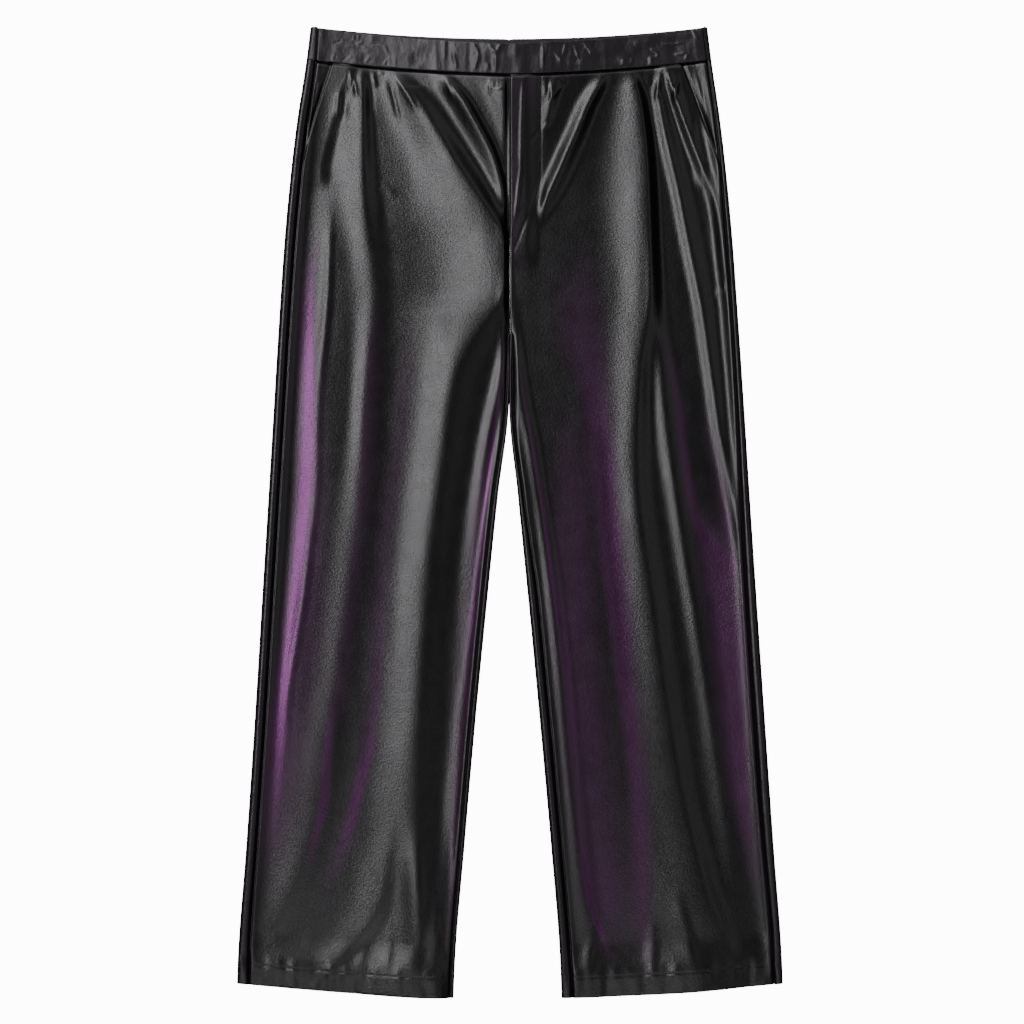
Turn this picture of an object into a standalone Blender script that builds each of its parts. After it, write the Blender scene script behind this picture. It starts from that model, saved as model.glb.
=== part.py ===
"""Faux leather trousers, laid out flat on their back with the front up.

Blender works in metres, +Z up. The sizes below are in millimetres. A place on the garment is
given as `down`, the distance below the top of the waistband's sides, and `across`, the distance
from the centre line, towards the wearer's left where it is positive. The waist points to +Y.
Each piece is a wall between an outer and an inner grid of points, closed round its rim.
"""

from collections import namedtuple

import bmesh
import bpy
import numpy as np

MM = 0.001

# ---- Driving sizes, in millimetres ----------------------------------------------------------
LENGTH = 1040.0             # waistband's sides to the lowest point of the hems
CLOTH = 1.3                 # coated cloth with its woven backing
BAND = 3.0                  # waistband: two layers of cloth round an elastic
SEAM_GAP = 0.3              # clear distance between two pieces at a seam
CROTCH = 324.0              # where the legs part
HALF_WAIST = 209.0          # centre line to the waistband's side, laid flat
FRONT_DIP = 17.0            # the front's top edge hangs this far below its sides
BACK_DIP = 13.6
FRONT_TOP = 0.9
SEAM_DOWN, SEAM_DIP = 52.0, 15.7     # waistband seam at the centre, and its rise to the sides
HEM_DEPTH = 22.0            # turned-up hem, two layers thick
HEM_FLAT, HEM_SPAN, HEM_RISE = 60.0, 233.0, 15.8      # the hem's edge rises outwards
VALLEY = 3.2                # height of the front's face where it lies on the back
WAIST_LIFT, WAIST_REACH = 3.3, 45.0  # the layers of the waistband lift the cloth below it
MOUTH_LIFT, MOUTH_WIDTH, MOUTH_REACH = 8.6, 96.0, 80.0    # the waist gapes at its middle
HEM_LIFT, HEM_LIFT_REACH = 3.0, 60.0       # the turned-up layers lift the cloth at the hem
OUT_SHOULDER, IN_SHOULDER = 11.0, 9.0      # how fast the rolled edges come down to the valley
GROOVE, GROOVE_WIDTH = 1.0, 2.2            # the cloth dips into each seam
OVERLAY = 2.1               # how far one front lies above what it overlaps
FLY_WIDTH, FLY_END = 33.0, 236.0           # the fly's J-shaped stitching
FLY_UNDERLAP = 12.0         # the right front runs this far under the left one
UNDERLAP_TAPER, UNDERLAP_END = 176.0, 218.0           # and that narrows to nothing down the fly
FLY_STIFF, FLY_STIFF_WIDTH = 0.8, 10.0     # the layers of the fly flatten the folds near it
POCKET_UNDERLAP = 15.0      # the pocket facing runs this far under the front
ROLL_SIDES = 6              # flat segments round half a rolled edge
WRAP_COLUMNS = 2            # columns of points from the seam to the roll
EDGE_COLUMNS = WRAP_COLUMNS + ROLL_SIDES + 1
BAND_PROUD = 1.2            # the waistband stands this far above the cloth it is sewn to

Section = namedtuple(
    "Section",
    "down right_out right_in left_in left_out out_roll in_roll"
    " right_outseam right_inseam left_inseam left_outseam")
# Outlines across the garment, radii of the rolled edges, and how far in from each edge its
# seam lies. The seams lie on the front because the back is cut wider.
SECTIONS = [
    Section(0.0, -213.6, -0.8, 0.2, 211.6, 4.5, 1.7, 8.0, 2.2, 2.2, 5.0),
    Section(38.0, -218.4, -0.8, 0.2, 216.3, 4.5, 1.7, 10.5, 2.2, 2.2, 5.0),
    Section(100.0, -228.0, -0.8, 0.2, 225.3, 4.5, 1.7, 12.0, 2.2, 2.2, 5.5),
    Section(200.0, -239.1, -0.8, 0.2, 236.1, 4.8, 1.7, 12.0, 2.2, 2.2, 7.0),
    Section(324.0, -248.0, -0.5, 0.0, 245.4, 5.0, 1.7, 12.0, 2.2, 2.2, 7.5),
    Section(404.0, -252.8, -1.2, -0.7, 250.8, 5.0, 2.6, 12.0, 4.0, 4.0, 8.5),
    Section(500.0, -258.6, -12.4, 8.1, 256.9, 5.0, 3.8, 12.0, 5.6, 6.0, 10.0),
    Section(620.0, -266.0, -24.7, 20.1, 264.9, 5.0, 4.4, 12.0, 6.4, 11.0, 11.5),
    Section(740.0, -273.3, -36.4, 31.5, 273.1, 5.0, 4.6, 12.0, 6.0, 11.3, 11.8),
    Section(880.0, -282.8, -48.7, 44.1, 282.8, 4.8, 4.4, 12.0, 5.2, 11.5, 11.5),
    Section(1000.0, -291.7, -58.6, 53.6, 291.6, 4.2, 3.6, 12.6, 4.2, 11.7, 10.5),
    Section(1040.0, -293.0, -60.3, 55.1, 293.0, 4.0, 3.4, 13.0, 3.8, 11.7, 10.0),
]

Gape = namedtuple("Gape", "across height width reach")
# The hems stand open where each leg's main fold comes down to them.
HEM_GAPES = {"right": Gape(-101.0, 6.4, 46.0, 240.0), "left": Gape(196.0, 6.4, 44.0, 220.0)}

Pocket = namedtuple("Pocket", "top_down top_across end_down bow")
POCKETS = {"right": Pocket(41.4, -191.2, 148.0, 2.0), "left": Pocket(43.2, 184.8, 150.0, -0.6)}

Crest = namedtuple("Crest", "down across height left right")
# The large folds of the fronts. A fold is a soft ridge along a crest: each row gives a point of
# the crest, its height, and how wide the fold falls away on either side of it.
RIGHT_FOLDS = {
    "outseam": [
        Crest(110, -190, 0.0, 14, 10), Crest(180, -185, 3.5, 26, 9), Crest(287, -191, 5.0, 28, 10),
        Crest(394, -200, 5.5, 26, 11), Crest(517, -213, 5.5, 24, 12), Crest(624, -221, 5.0, 22, 13),
        Crest(758, -236, 4.0, 20, 13), Crest(892, -248, 2.0, 18, 12), Crest(950, -258, 0.0, 16, 12)],
    "front_crease": [
        Crest(50, -158, 3.0, 8, 6), Crest(78, -154, 5.0, 18, 7), Crest(127, -152, 7.0, 30, 8),
        Crest(234, -152, 6.0, 17, 9), Crest(394, -157, 6.0, 16, 11), Crest(517, -168, 6.0, 18, 13),
        Crest(624, -180, 6.0, 20, 14), Crest(758, -201, 5.5, 24, 16), Crest(865, -216, 4.0, 24, 18),
        Crest(960, -248, 0.0, 18, 14)],
    "thigh": [
        Crest(50, -122, 3.0, 8, 7), Crest(78, -108, 6.0, 14, 10), Crest(127, -82, 8.0, 30, 13),
        Crest(180, -52, 9.0, 46, 14), Crest(222, -28, 9.0, 60, 15), Crest(262, -27, 9.0, 62, 22),
        Crest(300, -40, 9.0, 54, 28), Crest(341, -53, 9.0, 42, 24), Crest(474, -73, 8.0, 36, 19),
        Crest(624, -93, 8.0, 34, 20), Crest(731, -97, 7.0, 36, 22), Crest(892, -100, 4.0, 38, 24),
        Crest(970, -96, 0.0, 34, 24)],
    "fly_fold": [
        Crest(50, -70, 3.0, 8, 6), Crest(62, -60, 4.0, 10, 7), Crest(90, -40, 5.5, 12, 7),
        Crest(127, -20, 5.5, 13, 6), Crest(160, -12, 4.5, 12, 5), Crest(200, -5, 0.0, 9, 5)],
    "fly_gather": [
        Crest(50, -26, 3.0, 10, 6), Crest(90, -10, 4.0, 12, 5), Crest(135, -3, 0.0, 8, 5)],
    "inseam": [
        Crest(325, -6, 0.0, 6, 5), Crest(360, -10, 2.5, 10, 6), Crest(394, -14, 4.0, 14, 8),
        Crest(474, -30, 5.0, 16, 10), Crest(624, -47, 5.0, 17, 11), Crest(849, -65, 3.5, 16, 11),
        Crest(972, -72, 0.5, 14, 11)],
    "hem_outer": [
        Crest(885, -136, 0.0, 14, 10), Crest(930, -160, 2.5, 18, 12), Crest(985, -186, 0.0, 14, 12)],
    "hem_middle": [
        Crest(905, -118, 0.0, 10, 8), Crest(956, -104, 2.5, 14, 9), Crest(1005, -106, 0.0, 11, 9)],
    "hem_inner": [
        Crest(925, -82, 0.0, 9, 8), Crest(965, -76, 2.0, 12, 8), Crest(1005, -73, 0.0, 10, 8)],
}
LEFT_FOLDS = {
    "inseam": [
        Crest(325, 4, 0.0, 5, 5), Crest(341, 6, 1.5, 6, 7), Crest(394, 12, 3.5, 9, 9),
        Crest(448, 19, 4.5, 12, 10), Crest(517, 32, 4.5, 14, 10), Crest(624, 47, 4.5, 16, 11),
        Crest(811, 64, 4.0, 16, 14), Crest(892, 70, 3.0, 17, 18), Crest(985, 84, 0.0, 16, 22)],
    "thigh": [
        Crest(50, 130, 3.0, 8, 7), Crest(75, 137, 6.0, 18, 8), Crest(127, 137, 8.0, 32, 9),
        Crest(180, 138, 9.0, 42, 10), Crest(234, 136, 9.0, 50, 14), Crest(287, 131, 9.0, 48, 16),
        Crest(341, 128, 9.0, 38, 16), Crest(421, 129, 9.0, 33, 17), Crest(528, 136, 8.0, 31, 17),
        Crest(635, 148, 8.0, 30, 17), Crest(742, 161, 7.0, 29, 18), Crest(849, 181, 5.5, 28, 19),
        Crest(935, 207, 3.5, 28, 18), Crest(985, 222, 0.0, 24, 16)],
    "second": [
        Crest(220, 144, 0.0, 10, 8), Crest(287, 152, 3.0, 13, 9), Crest(341, 159, 4.5, 15, 10),
        Crest(421, 170, 6.0, 17, 11), Crest(635, 196, 6.0, 18, 13), Crest(849, 227, 3.0, 19, 14),
        Crest(930, 238, 0.0, 17, 13)],
    "pocket_fold": [
        Crest(50, 163, 3.0, 7, 5), Crest(100, 171, 6.0, 13, 7), Crest(180, 187, 6.5, 15, 8),
        Crest(260, 200, 6.5, 16, 9), Crest(341, 214, 6.5, 16, 9), Crest(448, 227, 5.0, 15, 9),
        Crest(517, 241, 3.0, 13, 8), Crest(560, 248, 0.0, 11, 7)],
    "fly_fold": [
        Crest(50, 98, 3.0, 9, 7), Crest(68, 87, 5.0, 11, 8), Crest(100, 67, 6.0, 12, 9),
        Crest(180, 40, 5.0, 13, 10), Crest(223, 21, 3.0, 11, 8), Crest(245, 10, 0.0, 9, 7)],
    "fly_gather": [
        Crest(50, 52, 2.0, 8, 6), Crest(80, 45, 3.0, 9, 7), Crest(115, 36, 0.0, 8, 7)],
    "outseam": [
        Crest(530, 240, 0.0, 22, 9), Crest(640, 248, 4.5, 32, 9), Crest(742, 256, 5.0, 34, 10),
        Crest(849, 265, 3.5, 32, 10), Crest(930, 272, 0.0, 26, 10)],
    "hem_outer": [
        Crest(905, 162, 0.0, 12, 9), Crest(950, 178, 2.5, 15, 10), Crest(1000, 196, 0.0, 12, 9)],
    "hem_middle": [
        Crest(930, 134, 0.0, 9, 7), Crest(965, 141, 2.0, 12, 8), Crest(1005, 144, 0.0, 9, 7)],
    "hem_inner": [
        Crest(955, 86, 0.0, 8, 6), Crest(985, 83, 2.0, 10, 7), Crest(1010, 82, 0.0, 8, 6)],
}

Pucker = namedtuple("Pucker", "pitch height reach wander wander_pitch")
GATHERS = Pucker(15.0, 0.8, 20.0, 5.0, 19.0)      # small gathers all along the waistband seam

Elastic = namedtuple("Elastic", "start end crinkles height")
# Stretches of the waistband where the elastic draws the cloth into upright crinkles.
ELASTIC = [
    Elastic(-196.0, -118.0, 4, 0.8),
    Elastic(-86.0, -11.0, 7, 1.5),
    Elastic(36.0, 107.0, 6, 1.5),
    Elastic(120.0, 200.0, 4, 0.9),
]

COLOURS = {
    "leather": (0.018, 0.015, 0.019, 1.0),
    "facing": (0.016, 0.014, 0.017, 1.0),
}


# ---- Curves ----------------------------------------------------------------------------------
def ease(start, end, value):
    """Rise from 0 at start to 1 at end with level ends."""
    t = np.clip((value - start) / (end - start), 0.0, 1.0)
    return t * t * (3.0 - 2.0 * t)


def through(places, values, at):
    """Smooth curve through a row of values that doesn't swing past any of them."""
    places, values = np.asarray(places, float), np.asarray(values, float)
    step = np.diff(values) / np.diff(places)
    slope = np.gradient(values, places)
    before, after = np.r_[step[0], step], np.r_[step, step[-1]]
    limit = 3.0 * np.minimum(abs(before), abs(after))
    slope = np.where(before * after > 0.0, np.clip(slope, -limit, limit), 0.0)
    at = np.clip(at, places[0], places[-1])
    i = np.clip(np.searchsorted(places, at, side="right") - 1, 0, len(places) - 2)
    width = places[i + 1] - places[i]
    t = (at - places[i]) / width
    return ((2 * t**3 - 3 * t**2 + 1) * values[i] + (t**3 - 2 * t**2 + t) * width * slope[i]
            + (3 * t**2 - 2 * t**3) * values[i + 1] + (t**3 - t**2) * width * slope[i + 1])


def section(column, down):
    """One column of the section table, at any distance down."""
    return through([s.down for s in SECTIONS], [getattr(s, column) for s in SECTIONS], down)


def waist_seam(across):
    """Distance down of the seam between the waistband and the panels."""
    return SEAM_DOWN - SEAM_DIP * np.minimum(abs(across) / HALF_WAIST, 1.0) ** 1.5


def front_top(across):
    """Distance down of the front waistband's top edge."""
    return FRONT_TOP + FRONT_DIP * (1.0 - np.minimum(abs(across) / HALF_WAIST, 1.0) ** 1.5)


def back_top(across):
    """Distance down of the back waistband's top edge."""
    return BACK_DIP * (1.0 - np.minimum(abs(across) / HALF_WAIST, 1.0) ** 2)


def hem(across):
    """Distance down of the hem's edge."""
    outwards = np.clip((abs(across) - HEM_FLAT) / HEM_SPAN, 0.0, 1.0)
    return LENGTH - HEM_RISE * outwards ** 1.5


def pocket_line(side, down):
    """Distance across of the slanted pocket edge, bowed a little outwards."""
    pocket = POCKETS[side]
    end_across = seam_across(side, "out", pocket.end_down)
    t = (down - pocket.top_down) / (pocket.end_down - pocket.top_down)
    bow = pocket.bow * np.sin(np.pi * np.clip(t, 0.0, 1.0))
    return pocket.top_across + (end_across - pocket.top_across) * t - bow


# ---- The face of the laid-out front ----------------------------------------------------------
def sign(side):
    return -1.0 if side == "right" else 1.0


def seam_across(side, edge, down):
    """Distance across of an outseam (edge out) or an inseam (edge in)."""
    inwards = -sign(side) if edge == "out" else sign(side)
    return section(f"{side}_{edge}", down) + inwards * section(f"{side}_{edge}seam", down)


def rolled(distance, radius):
    """Height of an edge rolled to a half circle, by the distance in from the outline."""
    reach = np.clip(radius - distance, 0.0, radius)
    return radius + np.sqrt(radius**2 - reach**2)


def fold_heights(folds, across, down):
    """Sum of bell-shaped ridges across their crests, each side with its own width."""
    total = np.zeros(np.broadcast(across, down).shape)
    for crests in folds.values():
        at = [c.down for c in crests]
        crest, height, left, right = (
            through(at, [getattr(c, name) for c in crests], down)
            for name in ("across", "height", "left", "right"))
        lean = (through(at, [c.across for c in crests], down + 2.0)
                - through(at, [c.across for c in crests], down - 2.0)) / 4.0
        off = (across - crest) / np.sqrt(1.0 + lean**2)
        width = np.where(off < 0.0, left, right)
        begun = (down >= at[0]) | (crests[0].height > 0.0)
        total += np.where(begun & (down <= at[-1]), height, 0.0) * np.exp(-(off / width) ** 2)
    return total


def bed(side, across, down):
    """Height of the face without its folds: valley, lifted waist and hem, and rolled edges."""
    out_roll, in_roll = section("out_roll", down), section("in_roll", down)
    out = np.maximum(sign(side) * (section(f"{side}_out", down) - across), 0.0)
    inside = np.maximum(sign(side) * (across - section(f"{side}_in", down)), 0.0)
    below = np.maximum(down - waist_seam(across), 0.0)
    to_hem = np.maximum(hem(across) - down, 0.0)
    gape = HEM_GAPES[side]
    opened = gape.height * np.exp(-((across - gape.across) / gape.width) ** 2)
    level = (VALLEY + WAIST_LIFT * np.exp(-(below / WAIST_REACH) ** 2)
             + MOUTH_LIFT * np.exp(-(across / MOUTH_WIDTH) ** 2 - (below / MOUTH_REACH) ** 2)
             + HEM_LIFT * (1.0 - ease(HEM_DEPTH - 4.0, HEM_LIFT_REACH, to_hem))
             + opened * (1.0 - ease(HEM_DEPTH - 4.0, gape.reach, to_hem)))
    height = level + (2 * out_roll - level) * np.exp(
        -(np.maximum(out - out_roll, 0.0) / OUT_SHOULDER) ** 2)
    height -= 2 * out_roll - rolled(out, out_roll)
    leg = (2 * in_roll - level) * np.exp(-(np.maximum(inside - in_roll, 0.0) / IN_SHOULDER) ** 2)
    leg -= 2 * in_roll - rolled(inside, in_roll)
    return height + np.where(down >= CROTCH - 0.5, leg, 0.0)


def grooves(side, across, down):
    """Depth of the dips along the outseam, the inseam and the centre seam."""
    wall = hem_wall(across, down)
    depth = np.zeros(np.broadcast(across, down).shape)
    for edge in ("out", "in"):
        free = 2 * section(f"{edge}_roll", down) - 2 * wall - 0.4
        line = seam_across(side, edge, down)
        dip = np.clip(free, 0.0, GROOVE) * np.exp(-((across - line) / GROOVE_WIDTH) ** 2)
        depth += dip if edge == "out" else np.where(down >= CROTCH - 0.5, dip, 0.0)
    return depth


def face(side, across, down):
    """Height of the front's outer face."""
    other = LEFT_FOLDS if side == "right" else RIGHT_FOLDS
    own = RIGHT_FOLDS if side == "right" else LEFT_FOLDS
    out_roll = section("out_roll", down)
    out = np.maximum(sign(side) * (section(f"{side}_out", down) - across), 0.0)
    inside = np.maximum(sign(side) * (across - section(f"{side}_in", down)), 0.0)
    below = down - waist_seam(across)
    at_edges = ease(out_roll, out_roll + 12.0, out)
    at_edges = at_edges * (1.0 - (1.0 - ease(1.0, 13.0, inside))
                           * ease(CROTCH - 10.0, CROTCH + 15.0, down))
    at_waist = ease(0.0, 12.0, below)
    torso = 1.0 - ease(CROTCH - 70.0, CROTCH, down)
    folds = fold_heights(own, across, down) + torso * fold_heights(other, across, down)
    stiff = 1.0 - FLY_STIFF * torso * np.exp(-((across - 3.0) / FLY_STIFF_WIDTH) ** 2)
    bent = across + GATHERS.wander * np.sin(across / GATHERS.wander_pitch)
    gathers = GATHERS.height * np.sin(2 * np.pi * bent / GATHERS.pitch)
    gathers = gathers * np.exp(-np.maximum(below, 0.0) / GATHERS.reach)
    height = bed(side, across, down) + at_edges * at_waist * stiff * (folds + gathers)
    return height - grooves(side, across, down)


def overlay(side, across, down):
    """How far a front is lifted by what it lies on: the pocket facing, and at the left the fly."""
    pocket = POCKETS[side]
    inwards = sign(side) * (pocket_line(side, np.minimum(down, pocket.end_down)) - across)
    reach = POCKET_UNDERLAP + 3.0
    lift = (1.0 - ease(reach, reach + 14.0, inwards)) * (
        1.0 - ease(pocket.end_down + 6.0, pocket.end_down + 30.0, down))
    if side == "left":
        fly = (1.0 - ease(FLY_UNDERLAP + 4.0, FLY_WIDTH, across)) * (
            1.0 - ease(FLY_END, FLY_END + 30.0, down))
        lift = np.maximum(lift, fly)
    return OVERLAY * lift


def hem_wall(across, down):
    """Thickness of the cloth, doubled by the turned-up hem."""
    return CLOTH * (2.0 - ease(HEM_DEPTH, HEM_DEPTH + 4.0, hem(across) - down))


# ---- Meshes ----------------------------------------------------------------------------------
def wall_below(height, across, down, thickness):
    """Height of the inner face that keeps the wall's thickness where the outer one slopes."""
    step = 0.5
    slope_across = (height(across + step, down) - height(across - step, down)) / (2 * step)
    slope_down = (height(across, down + step) - height(across, down - step)) / (2 * step)
    stretch = np.sqrt(1.0 + slope_across**2 + slope_down**2)
    return height(across, down) - thickness * np.minimum(stretch, 1.3)


def placed(across, down, height):
    """Points in metres from places on the garment."""
    return np.stack([across, LENGTH / 2 - down, height], axis=-1) * MM


def shell(name, outer, inner, material, cells=None):
    """Wall between two grids of points, closed by a rim round the cells that are kept."""
    rows, columns = outer.shape[:2]
    kept = np.ones((rows - 1, columns - 1), bool) if cells is None else cells
    framed = np.pad(kept, 1)
    offset = rows * columns
    faces = []
    for row, column in zip(*np.nonzero(kept)):
        corner = row * columns + column
        ring = [corner, corner + 1, corner + columns + 1, corner + columns]
        faces.append(ring)
        faces.append([i + offset for i in reversed(ring)])
        beside = [(0, 1), (1, 2), (2, 1), (1, 0)]
        for edge, (down_step, across_step) in enumerate(beside):
            if not framed[row + down_step, column + across_step]:
                first, second = ring[edge], ring[(edge + 1) % 4]
                faces.append([second, first, first + offset, second + offset])
    mesh = bpy.data.meshes.new(name)
    points = np.concatenate([outer.reshape(-1, 3), inner.reshape(-1, 3)])
    mesh.from_pydata(points.tolist(), [], faces)
    tidy = bmesh.new()
    tidy.from_mesh(mesh)
    bmesh.ops.delete(tidy, geom=[v for v in tidy.verts if not v.link_faces], context="VERTS")
    bmesh.ops.recalc_face_normals(tidy, faces=tidy.faces)
    tidy.to_mesh(mesh)
    tidy.free()
    mesh.shade_smooth()
    mesh.set_sharp_from_angle(angle=np.radians(50.0))
    mesh.materials.append(material)
    piece = bpy.data.objects.new(name, mesh)
    bpy.context.scene.collection.objects.link(piece)
    return piece


def leather(name, colour):
    """Smooth coated leather cloth."""
    material = bpy.data.materials.new(name)
    material.use_nodes = True
    surface = material.node_tree.nodes["Principled BSDF"]
    surface.inputs["Base Color"].default_value = colour
    surface.inputs["Roughness"].default_value = 0.34
    surface.inputs["Metallic"].default_value = 0.0
    return material


def rows_between(*stops):
    """Fractions of the way from the waistband seam to the hem, from distances down."""
    down = np.concatenate([np.linspace(start, end, count, endpoint=False)
                           for start, end, count in zip(stops[::2], stops[2::2], stops[1::2])])
    down = np.append(down, stops[-1])
    return (down - SEAM_DOWN) / (LENGTH - SEAM_DOWN)


# Rows of points down a panel: distances down, with the number of steps between them.
PANEL_ROWS = rows_between(
    SEAM_DOWN, 3, 76.0, 4, 130.0, 4, 220.0, 3, CROTCH, 4, 420.0, 9, 900.0, 4,
    LENGTH - HEM_DEPTH - 4.0, 1, LENGTH - HEM_DEPTH, 1, LENGTH)
CROTCH_ROW = int(np.argmin(abs(PANEL_ROWS - (CROTCH - SEAM_DOWN) / (LENGTH - SEAM_DOWN))))


def panel_downs(across_at, first_gap=SEAM_GAP / 2):
    """Solve for the places of a panel's rows, which follow the waist seam and the hem."""
    fraction = PANEL_ROWS[:, None]
    down = SEAM_DOWN + (LENGTH - SEAM_DOWN) * fraction
    for _ in range(4):
        across = across_at(down)
        top = waist_seam(across) + first_gap
        down = top + (hem(across) - top) * fraction
    return across_at(down), down


def front_panel(side, material):
    """One front, from the centre or inseam to the pocket edge or outseam."""
    s = sign(side)
    steps = np.concatenate([[0.0], np.linspace(0.013, 0.987, 34), [1.0]])
    in_crotch = (np.arange(len(PANEL_ROWS)) >= CROTCH_ROW)[:, None]

    def across_at(down):
        centre = s * SEAM_GAP / 2 + 0.0 * down
        if side == "right":
            centre = centre + FLY_UNDERLAP * (1.0 - ease(UNDERLAP_TAPER, UNDERLAP_END, down))
        inner = np.where(in_crotch, seam_across(side, "in", down) + s * SEAM_GAP / 2, centre)
        outer = seam_across(side, "out", down) - s * SEAM_GAP / 2
        slant = pocket_line(side, down)
        outer = np.where(s * slant < s * outer, slant, outer)
        return inner + (outer - inner) * steps

    across, down = panel_downs(across_at)

    def height(a, d):
        return face(side, a, d) + overlay(side, a, d)

    low = wall_below(height, across, down, hem_wall(across, down))
    return shell(f"front_{side}", placed(across, down, height(across, down)),
                 placed(across, down, low), material)


def edge_point(side, edge, column, down, wall, face_height, seam=None):
    """One column of a rolled edge, from its seam on the face (0) round to the floor (last).

    Gives the outer point's place across and height, and the same of the inner point.
    """
    s = sign(side) if edge == "out" else -sign(side)
    radius = section(f"{edge}_roll", down)
    outline = section(f"{side}_{edge}", down)
    if seam is None:
        inset = section(f"{side}_{edge}seam", down) - SEAM_GAP / 2
    else:
        inset = s * (outline - seam)
    if column < WRAP_COLUMNS:
        flat_from = np.minimum(radius, inset)
        distance = inset + (flat_from - inset) * column / WRAP_COLUMNS
        across = outline - s * distance
        high = face_height(side, across, down)
        return across, high, across, high - wall
    angle = np.pi / 2 - np.pi * (column - WRAP_COLUMNS) / ROLL_SIDES
    distance = radius * (1.0 - np.cos(angle))
    across = outline - s * distance
    across_in = outline - s * (radius - (radius - wall) * np.cos(angle))
    extra = 0.0
    if angle > 0.0:
        extra = face_height(side, across, down) - rolled(distance, radius)
    return (across, radius * (1.0 + np.sin(angle)) + extra,
            across_in, radius + (radius - wall) * np.sin(angle) + extra)


def back_panel(side, material):
    """One back: flat on the floor, rolled up at its edges and sewn to the front on top."""
    s = sign(side)
    in_leg = np.arange(len(PANEL_ROWS)) >= CROTCH_ROW

    def wall_at(down):
        return hem_wall(section(f"{side}_out", down), down)

    def inner_edge(column):
        def points(down):
            found = edge_point(side, "in", column, down, wall_at(down), face)
            if column < EDGE_COLUMNS - 1:
                return found
            start = np.where(in_leg, found[0], s * SEAM_GAP / 2)
            return start, 0.0 * down, start, wall_at(down)
        return points

    def outer_edge(column):
        return lambda down: edge_point(side, "out", column, down, wall_at(down), face)

    def flat(share):
        def points(down):
            start = inner_edge(EDGE_COLUMNS - 1)(down)[0]
            end = outer_edge(EDGE_COLUMNS - 1)(down)[0]
            across = start + (end - start) * share
            return across, 0.0 * down, across, wall_at(down)
        return points

    columns = ([inner_edge(i) for i in range(EDGE_COLUMNS)]
               + [flat(share) for share in (0.15, 0.32, 0.5, 0.68, 0.85)]
               + [outer_edge(i) for i in reversed(range(EDGE_COLUMNS))])
    outer_points, inner_points = [], []
    for points in columns:
        down = SEAM_DOWN + (LENGTH - SEAM_DOWN) * PANEL_ROWS
        for _ in range(4):
            across = points(down)[0]
            top = waist_seam(across) + SEAM_GAP / 2
            down = top + (hem(across) - top) * PANEL_ROWS
        across, high, across_in, high_in = points(down)
        outer_points.append(placed(across, down, high))
        inner_points.append(placed(across_in, down, high_in))
    cells = np.ones((len(PANEL_ROWS) - 1, len(columns) - 1), bool)
    cells[:CROTCH_ROW, :EDGE_COLUMNS - 1] = False
    return shell(f"back_{side}", np.stack(outer_points, 1), np.stack(inner_points, 1),
                 material, cells)


def crinkles(across, part):
    """Height of the waistband's crinkles: uneven bells, strongest at mid height."""
    total = np.zeros(np.broadcast(across, part).shape)
    for zone in ELASTIC:
        pitch = (zone.end - zone.start) / zone.crinkles
        for i in range(zone.crinkles):
            centre = zone.start + pitch * (i + 0.5 + 0.16 * np.sin(2.4 * i + 1.0))
            lean = 2.0 * np.sin(1.7 * i) * (part - 0.5)
            height = zone.height * (0.8 + 0.2 * np.sin(1.9 * i + zone.start))
            bell = np.exp(-((across - centre - lean) / (0.28 * pitch)) ** 2)
            total += height * bell * np.sin(np.pi * (0.15 + 0.7 * part))
    return total


def band_bed(side, across, down):
    """Height of the waistband's face without its crinkles: it doesn't rise past its edges."""
    roll = 2 * section("out_roll", down)
    inset = sign(side) * (section(f"{side}_out", down) - across)
    return bed(side, across, down) + BAND_PROUD * ease(roll / 2, roll / 2 + 12.0, inset)


def band_height(across, down, part):
    """Height of the front waistband's face."""
    height = np.where(across < 0.0, band_bed("right", across, down),
                      band_bed("left", across, down))
    return height + crinkles(across, part)


def front_waistband(material):
    """Straight band over the front's top edge, from side seam to side seam."""
    at_sides = waist_seam(HALF_WAIST) / 2
    ends = [seam_across("right", "out", at_sides) + SEAM_GAP / 2,
            seam_across("left", "out", at_sides) - SEAM_GAP / 2]
    stops = [ends[0], -118.0, -88.0, -9.0, 34.0, 109.0, ends[1]]
    counts = [12, 4, 27, 5, 25, 13]
    across = np.concatenate([np.linspace(a, b, n, endpoint=False)
                             for a, b, n in zip(stops, stops[1:], counts)] + [[stops[-1]]])
    across = np.broadcast_to(across, (4, len(across)))
    part = np.linspace(0.0, 1.0, 4)[:, None]
    top, bottom = front_top(across), waist_seam(across) - SEAM_GAP / 2
    down = top + (bottom - top) * part
    high = band_height(across, down, part)
    return shell("waistband_front", placed(across, down, high), placed(across, down, high - BAND),
                 material)


def back_waistband(material):
    """Band of the back: flat on the floor, rolled round both sides to the side seams on top."""
    part = np.linspace(0.0, 1.0, 4)
    at_sides = waist_seam(HALF_WAIST) / 2

    def edge(side, column):
        seam = seam_across(side, "out", at_sides) + sign(side) * SEAM_GAP / 2
        return [value + 0.0 * part for value in edge_point(
            side, "out", column, at_sides, BAND, band_bed, seam)]

    right = [edge("right", i) for i in range(EDGE_COLUMNS)]
    left = [edge("left", i) for i in reversed(range(EDGE_COLUMNS))]
    start, end = right[-1][0], left[0][0]
    flat = [(start + (end - start) * share, 0.0 * part, start + (end - start) * share,
             BAND + 0.0 * part) for share in np.linspace(0.0, 1.0, 14)[1:-1]]
    outer_points, inner_points = [], []
    for across, high, across_in, high_in in right + flat + left:
        top, bottom = back_top(across), waist_seam(across) - SEAM_GAP / 2
        down = top + (bottom - top) * part
        outer_points.append(placed(across, down, high))
        inner_points.append(placed(across_in, down, high_in))
    return shell("waistband_back", np.stack(outer_points, 1), np.stack(inner_points, 1), material)


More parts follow.
